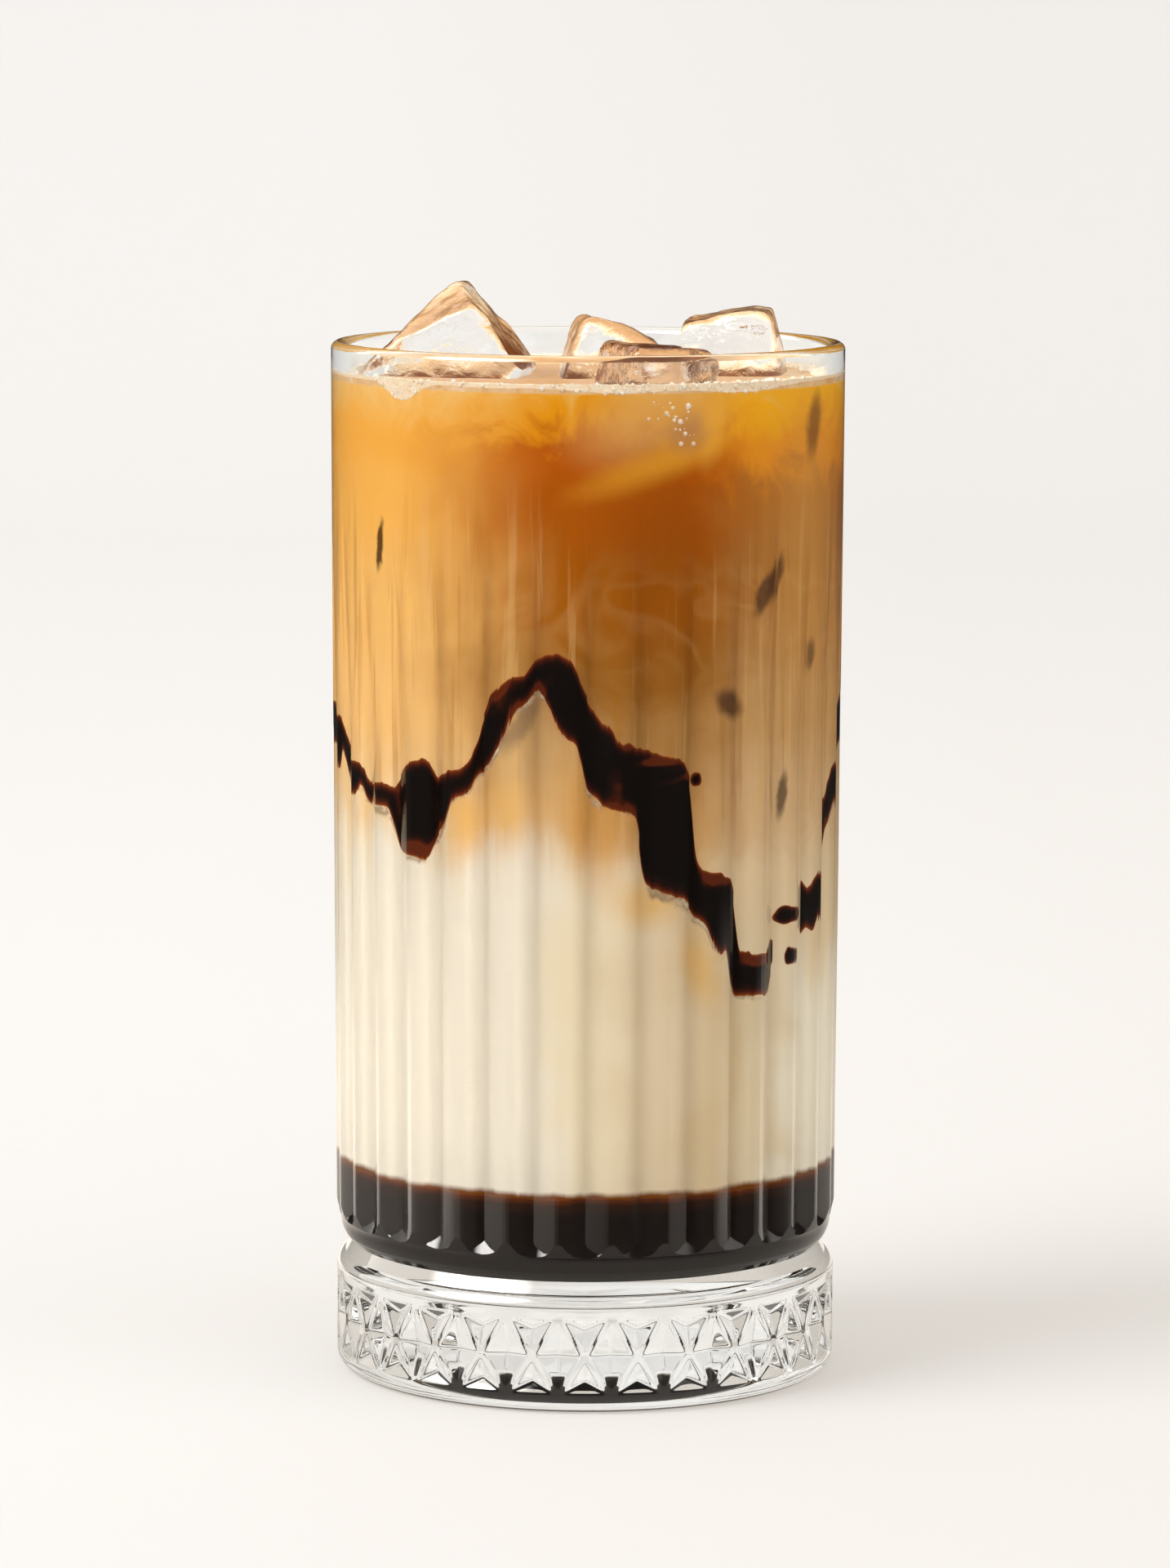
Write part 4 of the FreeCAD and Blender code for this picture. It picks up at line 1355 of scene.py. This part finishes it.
def bubbleTree():
    # scatters round bubbles over the foam, more of them where it is thick
    tree, given, made, identifiers = geometryTree("bubblesOnFoam", [
        ("Density", "NodeSocketFloat"), ("Least", "NodeSocketFloat"), ("Largest", "NodeSocketFloat"),
        ("Seed", "NodeSocketInt"), ("Material", "NodeSocketMaterial")])
    froth = addNode(tree, "GeometryNodeInputNamedAttribute", data_type="FLOAT")
    froth.inputs["Name"].default_value = "froth"
    amount = doMath(tree, "ADD", froth.outputs["Attribute"], 0.15, clamp=True)
    scatter = addNode(tree, "GeometryNodeDistributePointsOnFaces", distribute_method="RANDOM")
    feed(tree, scatter.inputs["Mesh"], given.outputs["Geometry"])
    feed(tree, scatter.inputs["Density"], doMath(tree, "MULTIPLY", amount, given.outputs["Density"]))
    feed(tree, scatter.inputs["Seed"], given.outputs["Seed"])
    ball = addNode(tree, "GeometryNodeMeshUVSphere")
    ball.inputs["Segments"].default_value = foamSizes["segments"]
    ball.inputs["Rings"].default_value = foamSizes["rings"]
    ball.inputs["Radius"].default_value = 1.0
    chance = addNode(tree, "FunctionNodeRandomValue", data_type="FLOAT")
    feed(tree, chance.inputs["Seed"], given.outputs["Seed"])
    # most bubbles are small
    share = doMath(tree, "POWER", chance.outputs[1], 3.0)
    span = doMath(tree, "SUBTRACT", given.outputs["Largest"], given.outputs["Least"])
    size = doMath(tree, "MULTIPLY_ADD", share, span, given.outputs["Least"])
    spread = addNode(tree, "GeometryNodeInstanceOnPoints")
    feed(tree, spread.inputs["Points"], scatter.outputs["Points"])
    feed(tree, spread.inputs["Instance"], ball.outputs["Mesh"])
    feed(tree, spread.inputs["Scale"], size)
    real = addNode(tree, "GeometryNodeRealizeInstances")
    feed(tree, real.inputs[0], spread.outputs[0])
    smooth = addNode(tree, "GeometryNodeSetShadeSmooth")
    feed(tree, smooth.inputs["Geometry"], real.outputs[0])
    paint = addNode(tree, "GeometryNodeSetMaterial")
    feed(tree, paint.inputs["Geometry"], smooth.outputs[0])
    feed(tree, paint.inputs["Material"], given.outputs["Material"])
    feed(tree, made.inputs[0], paint.outputs[0])
    return tree, identifiers


def makeBubbles(foam):
    s = foamSizes
    piece = placePiece("foamBubbles", foam.data.copy())
    # a small cluster clings to the wall beside the sunken ice
    bm = bmesh.new()
    bm.from_mesh(piece.data)
    layer = bm.verts.layers.float["froth"]
    for angle, height, halfWide, halfTall, froth in s["clusters"]:
        corners = []
        for side, rise in ((-1, -1), (1, -1), (1, 1), (-1, 1)):
            radius = innerWallAt(height) + drinkSizes["intoWall"]
            corner = placeAt(radius, angle + side * halfWide, height + rise * halfTall)
            vertex = bm.verts.new(corner)
            vertex[layer] = froth
            corners.append(vertex)
        bm.faces.new(corners)
    bm.to_mesh(piece.data)
    bm.free()
    tree, identifiers = bubbleTree()
    useTree(piece, tree, identifiers, {
        "Density": s["density"] / unit ** 2, "Least": s["leastBubble"] * unit,
        "Largest": s["largestBubble"] * unit, "Seed": s["seed"], "Material": bubbleMaterial()})
    bakeModifiers(piece)
    print("bubbles:", len(piece.data.polygons) // (s["segments"] * s["rings"]))
    attach(piece, "coffee")
    return piece


lightLooks = {
    "ambient": 0.41, "mirrorAmbient": 0.06,
    "seen": 0.93,           # the least brightness where the camera looks past the sweep
    "mirrorSides": [(-0.1, -0.9, 1.0), (0.8, 0.97, 0.6)],
    "mirrorBack": 1.2, "mirrorBackFrom": (-0.1, 0.5),   # the pale sweep behind, in the glass edges
    # direction, half angle of the bright middle, half angle of its edge, strength of the light
    # and strength in a mirror
    "boxes": [
        ((-0.66, -0.35, 0.67), 14.0, 25.0, 8.8, 21.0),
        ((-0.95, 0.3, 0.25), 20.0, 45.0, 0.7, 1.7),
        ((-0.2, 0.95, 0.4), 20.0, 50.0, 0.7, 1.7),
        ((0.85, -0.2, 0.5), 10.0, 35.0, 0.7, 1.7),
        ((0.65, -0.7, 0.25), 20.0, 60.0, 1.3, 0.0),
    ],
    "warmth": tone(255, 250, 244),
}


def mirrorRays(tree, path):
    # 1 for rays that were mirrored last, 0 for those that came through glass
    through = doMath(tree, "SUBTRACT", 1.0, path.outputs["Is Transmission Ray"])
    return doMath(tree, "MULTIPLY", path.outputs["Is Glossy Ray"], through)


def seenRays(tree, path):
    # 1 for rays of the camera, also for those that came through glass
    return doMath(tree, "MAXIMUM", path.outputs["Is Camera Ray"], path.outputs["Is Transmission Ray"])


def makeLight():
    world = bpy.data.worlds.new("studio")
    bpy.context.scene.world = world
    world.use_nodes = True
    tree = world.node_tree
    way = doVector(tree, "NORMALIZE", addNode(tree, "ShaderNodeTexCoord").outputs["Generated"])
    path = addNode(tree, "ShaderNodeLightPath")
    mirrored = mirrorRays(tree, path)
    drop = lightLooks["mirrorAmbient"] - lightLooks["ambient"]
    total = doMath(tree, "MULTIPLY_ADD", mirrored, drop, lightLooks["ambient"])
    for direction, inner, outer, strength, inMirror in lightLooks["boxes"]:
        aim = Vector(direction).normalized()
        facing = doVector(tree, "DOT_PRODUCT", way, tuple(aim))
        share = remap(tree, facing, math.cos(math.radians(outer)), math.cos(math.radians(inner)))
        level = doMath(tree, "MULTIPLY_ADD", mirrored, inMirror - strength, strength)
        total = doMath(tree, "MULTIPLY_ADD", share, level, total)
    seen = doMath(tree, "MULTIPLY", seenRays(tree, path), lightLooks["seen"])
    total = doMath(tree, "MAXIMUM", total, seen)
    background = tree.nodes["Background"]
    background.inputs["Color"].default_value = lightLooks["warmth"]
    feed(tree, background.inputs["Strength"], total)


stageLooks = {
    # the sweep is painted a little darker towards the right: painted shade away from the light at the left
    "leftTone": tone(212, 218, 226), "rightTone": tone(209, 213, 219),
    "glowTone": tone(252, 242, 229),   # the share of the background that takes no shadow
    "glowRight": 0.95, "own": 0.52,
    "toneReach": (-90.0, 110.0),       # millimetres from the left tone to the right one
    "farShade": 0.87,       # how much darker the sweep is far behind the glass
    "farReach": (0.3, 1.9),
    "tableReach": (0.06, 0.15),    # past this the glass mirrors the room, not the table
    "tableInMirror": 0.62,
    "roomReach": (0.2, 0.5),       # past this the room in the mirror is dark
    "front": -1.4, "bend": 1.3, "rise": 1.6, "bendRadius": 0.7, "halfWide": 2.4,
}


def makeStage():
    s = stageLooks
    profile = [(s["front"], 0.0), (0.0, 0.0), (s["bend"], 0.0)]
    for index in range(1, 13):
        turn = math.pi / 2.0 * index / 12.0
        profile.append((s["bend"] + s["bendRadius"] * math.sin(turn),
                        s["bendRadius"] * (1.0 - math.cos(turn))))
    profile.append((s["bend"] + s["bendRadius"], s["rise"]))
    vertices, faces = [], []
    for back, height in profile:
        for side in (-s["halfWide"], s["halfWide"]):
            vertices.append((side, back, height))
    for index in range(len(profile) - 1):
        first = 2 * index
        faces.append((first, first + 1, first + 3, first + 2))
    material, tree, shader, place = newMaterial("paleSweep", **{
        "Roughness": 0.9, "Specular IOR Level": 0.0})
    x, y, _ = splitPlace(tree, place)
    across = remap(tree, x, *s["toneReach"], smooth=False)
    # painted shade: the sweep's colour darkens slightly from left to right
    shade = mixColours(tree, across, s["leftTone"], s["rightTone"])
    start, end = (reach / unit for reach in s["farReach"])
    fading = remap(tree, y, start, end, 1.0, s["farShade"], smooth=False)
    shade = doVector(tree, "SCALE", shade, scale=fading)
    feed(tree, shader.inputs["Base Color"], shade)
    # in the glass the table ends in the dark of the room, apart from the bright side at the left
    path = addNode(tree, "ShaderNodeLightPath")
    away = doVector(tree, "LENGTH", doVector(tree, "MULTIPLY", place, (1.0, 1.0, 0.0)))
    near, far = (reach / unit for reach in s["tableReach"])
    side = doMath(tree, "DIVIDE", x, away)
    behind = remap(tree, doMath(tree, "DIVIDE", y, away), *lightLooks["mirrorBackFrom"])
    room = doMath(tree, "MULTIPLY", lightLooks["mirrorBack"], behind)
    for start, end, gain in lightLooks["mirrorSides"]:
        room = doMath(tree, "MULTIPLY_ADD", remap(tree, side, start, end), gain, room)
    first, last = (reach / unit for reach in s["roomReach"])
    room = doMath(tree, "MULTIPLY_ADD", room, remap(tree, away, first, last, 1.0, 0.0),
                  lightLooks["mirrorAmbient"])
    dark = remap(tree, away, near, far)
    mirror = doMath(tree, "MULTIPLY_ADD", doMath(tree, "SUBTRACT", 1.0, dark), s["tableInMirror"],
                    doMath(tree, "MULTIPLY", dark, room))
    mirrored = mirrorRays(tree, path)
    change = doMath(tree, "MULTIPLY", mirrored, doMath(tree, "SUBTRACT", mirror, 1.0))
    level = doMath(tree, "ADD", 1.0, change)
    seen = seenRays(tree, path)
    glow = addNode(tree, "ShaderNodeEmission")
    # painted shade: the glow is dimmed towards the right
    dimming = remap(tree, across, 0.0, 1.0, 1.0, s["glowRight"], smooth=False)
    glowTone = doVector(tree, "SCALE", s["glowTone"][:3], scale=doMath(tree, "MULTIPLY", fading, dimming))
    feed(tree, glow.inputs["Color"], glowTone)
    feed(tree, glow.inputs["Strength"], level)
    share = doMath(tree, "MAXIMUM", doMath(tree, "MULTIPLY", seen, s["own"]), mirrored)
    blend = addNode(tree, "ShaderNodeMixShader")
    feed(tree, blend.inputs[0], share)
    feed(tree, blend.inputs[1], shader.outputs[0])
    feed(tree, blend.inputs[2], glow.outputs[0])
    feed(tree, tree.nodes["Material Output"].inputs["Surface"], blend.outputs[0])
    sweep = newPiece("sweep", vertices, faces, material)
    for polygon in sweep.data.polygons:
        polygon.use_smooth = True
    return sweep


cameraView = {"distance": 900.6, "height": 199.7, "across": -0.24, "down": 7.37, "roll": 0.19,
              "lens": 147.19, "sensor": 36.0}


def makeCamera():
    c = cameraView
    data = bpy.data.cameras.new("view")
    data.lens = c["lens"]
    data.sensor_width = c["sensor"]
    data.sensor_fit = "AUTO"
    camera = bpy.data.objects.new("view", data)
    bpy.context.scene.collection.objects.link(camera)
    camera.location = Vector((c["across"], -c["distance"], c["height"])) * unit
    aim = Matrix.Rotation(math.radians(90.0 - c["down"]), 4, "X")
    spin = Matrix.Rotation(math.radians(c["roll"]), 4, "Z")
    camera.rotation_euler = (aim @ spin).to_euler()
    bpy.context.scene.camera = camera


makeCamera()
makeStage()
makeLight()
print("stage, camera and light are set")

makeGlass()
print("glass done")

drinkColours = drinkGroup()
syrup = makeLayer("syrupLayer", lambda a, b: glassSizes["floorHeight"] - drinkSizes["intoWall"],
                  lambda a, b: drinkSizes["syrupLevel"], 24, syrupMaterial())
attach(syrup, "syrup", "chocolate_syrup")
milk = makeLayer("milkLayer", lambda a, b: drinkSizes["syrupLevel"], milkTop, 30,
                 drinkMaterial("milk", drinkColours, False))
attach(milk, "milk", "milk")
coffee = makeLayer("coffeeLayer", milkTop, coffeeTop, 30,
                   drinkMaterial("coffee", drinkColours, True))
ice = iceMaterial()
cubes = []
for seed, node in enumerate(iceSizes["cubes"], start=1):
    cubes.append(makeIce(node, seed, ice))
carveFor(coffee, cubes)
attach(coffee, "coffee", "coffee")
for node, cube in zip(iceSizes["cubes"], cubes):
    attach(cube, "ice", node)
print("drink and ice done")

edges = sauceEdges()
makeSauce(edges)
makeRim(edges)
foam = makeFoam(foamMaterial())
attach(foam, "coffee")
makeBubbles(foam)
print("sauce and foam done")

scene = bpy.context.scene
scene.view_settings.view_transform = "Standard"
scene.cycles.max_bounces = 20
scene.cycles.transmission_bounces = 20
scene.cycles.glossy_bounces = 8
scene.cycles.transparent_max_bounces = 12
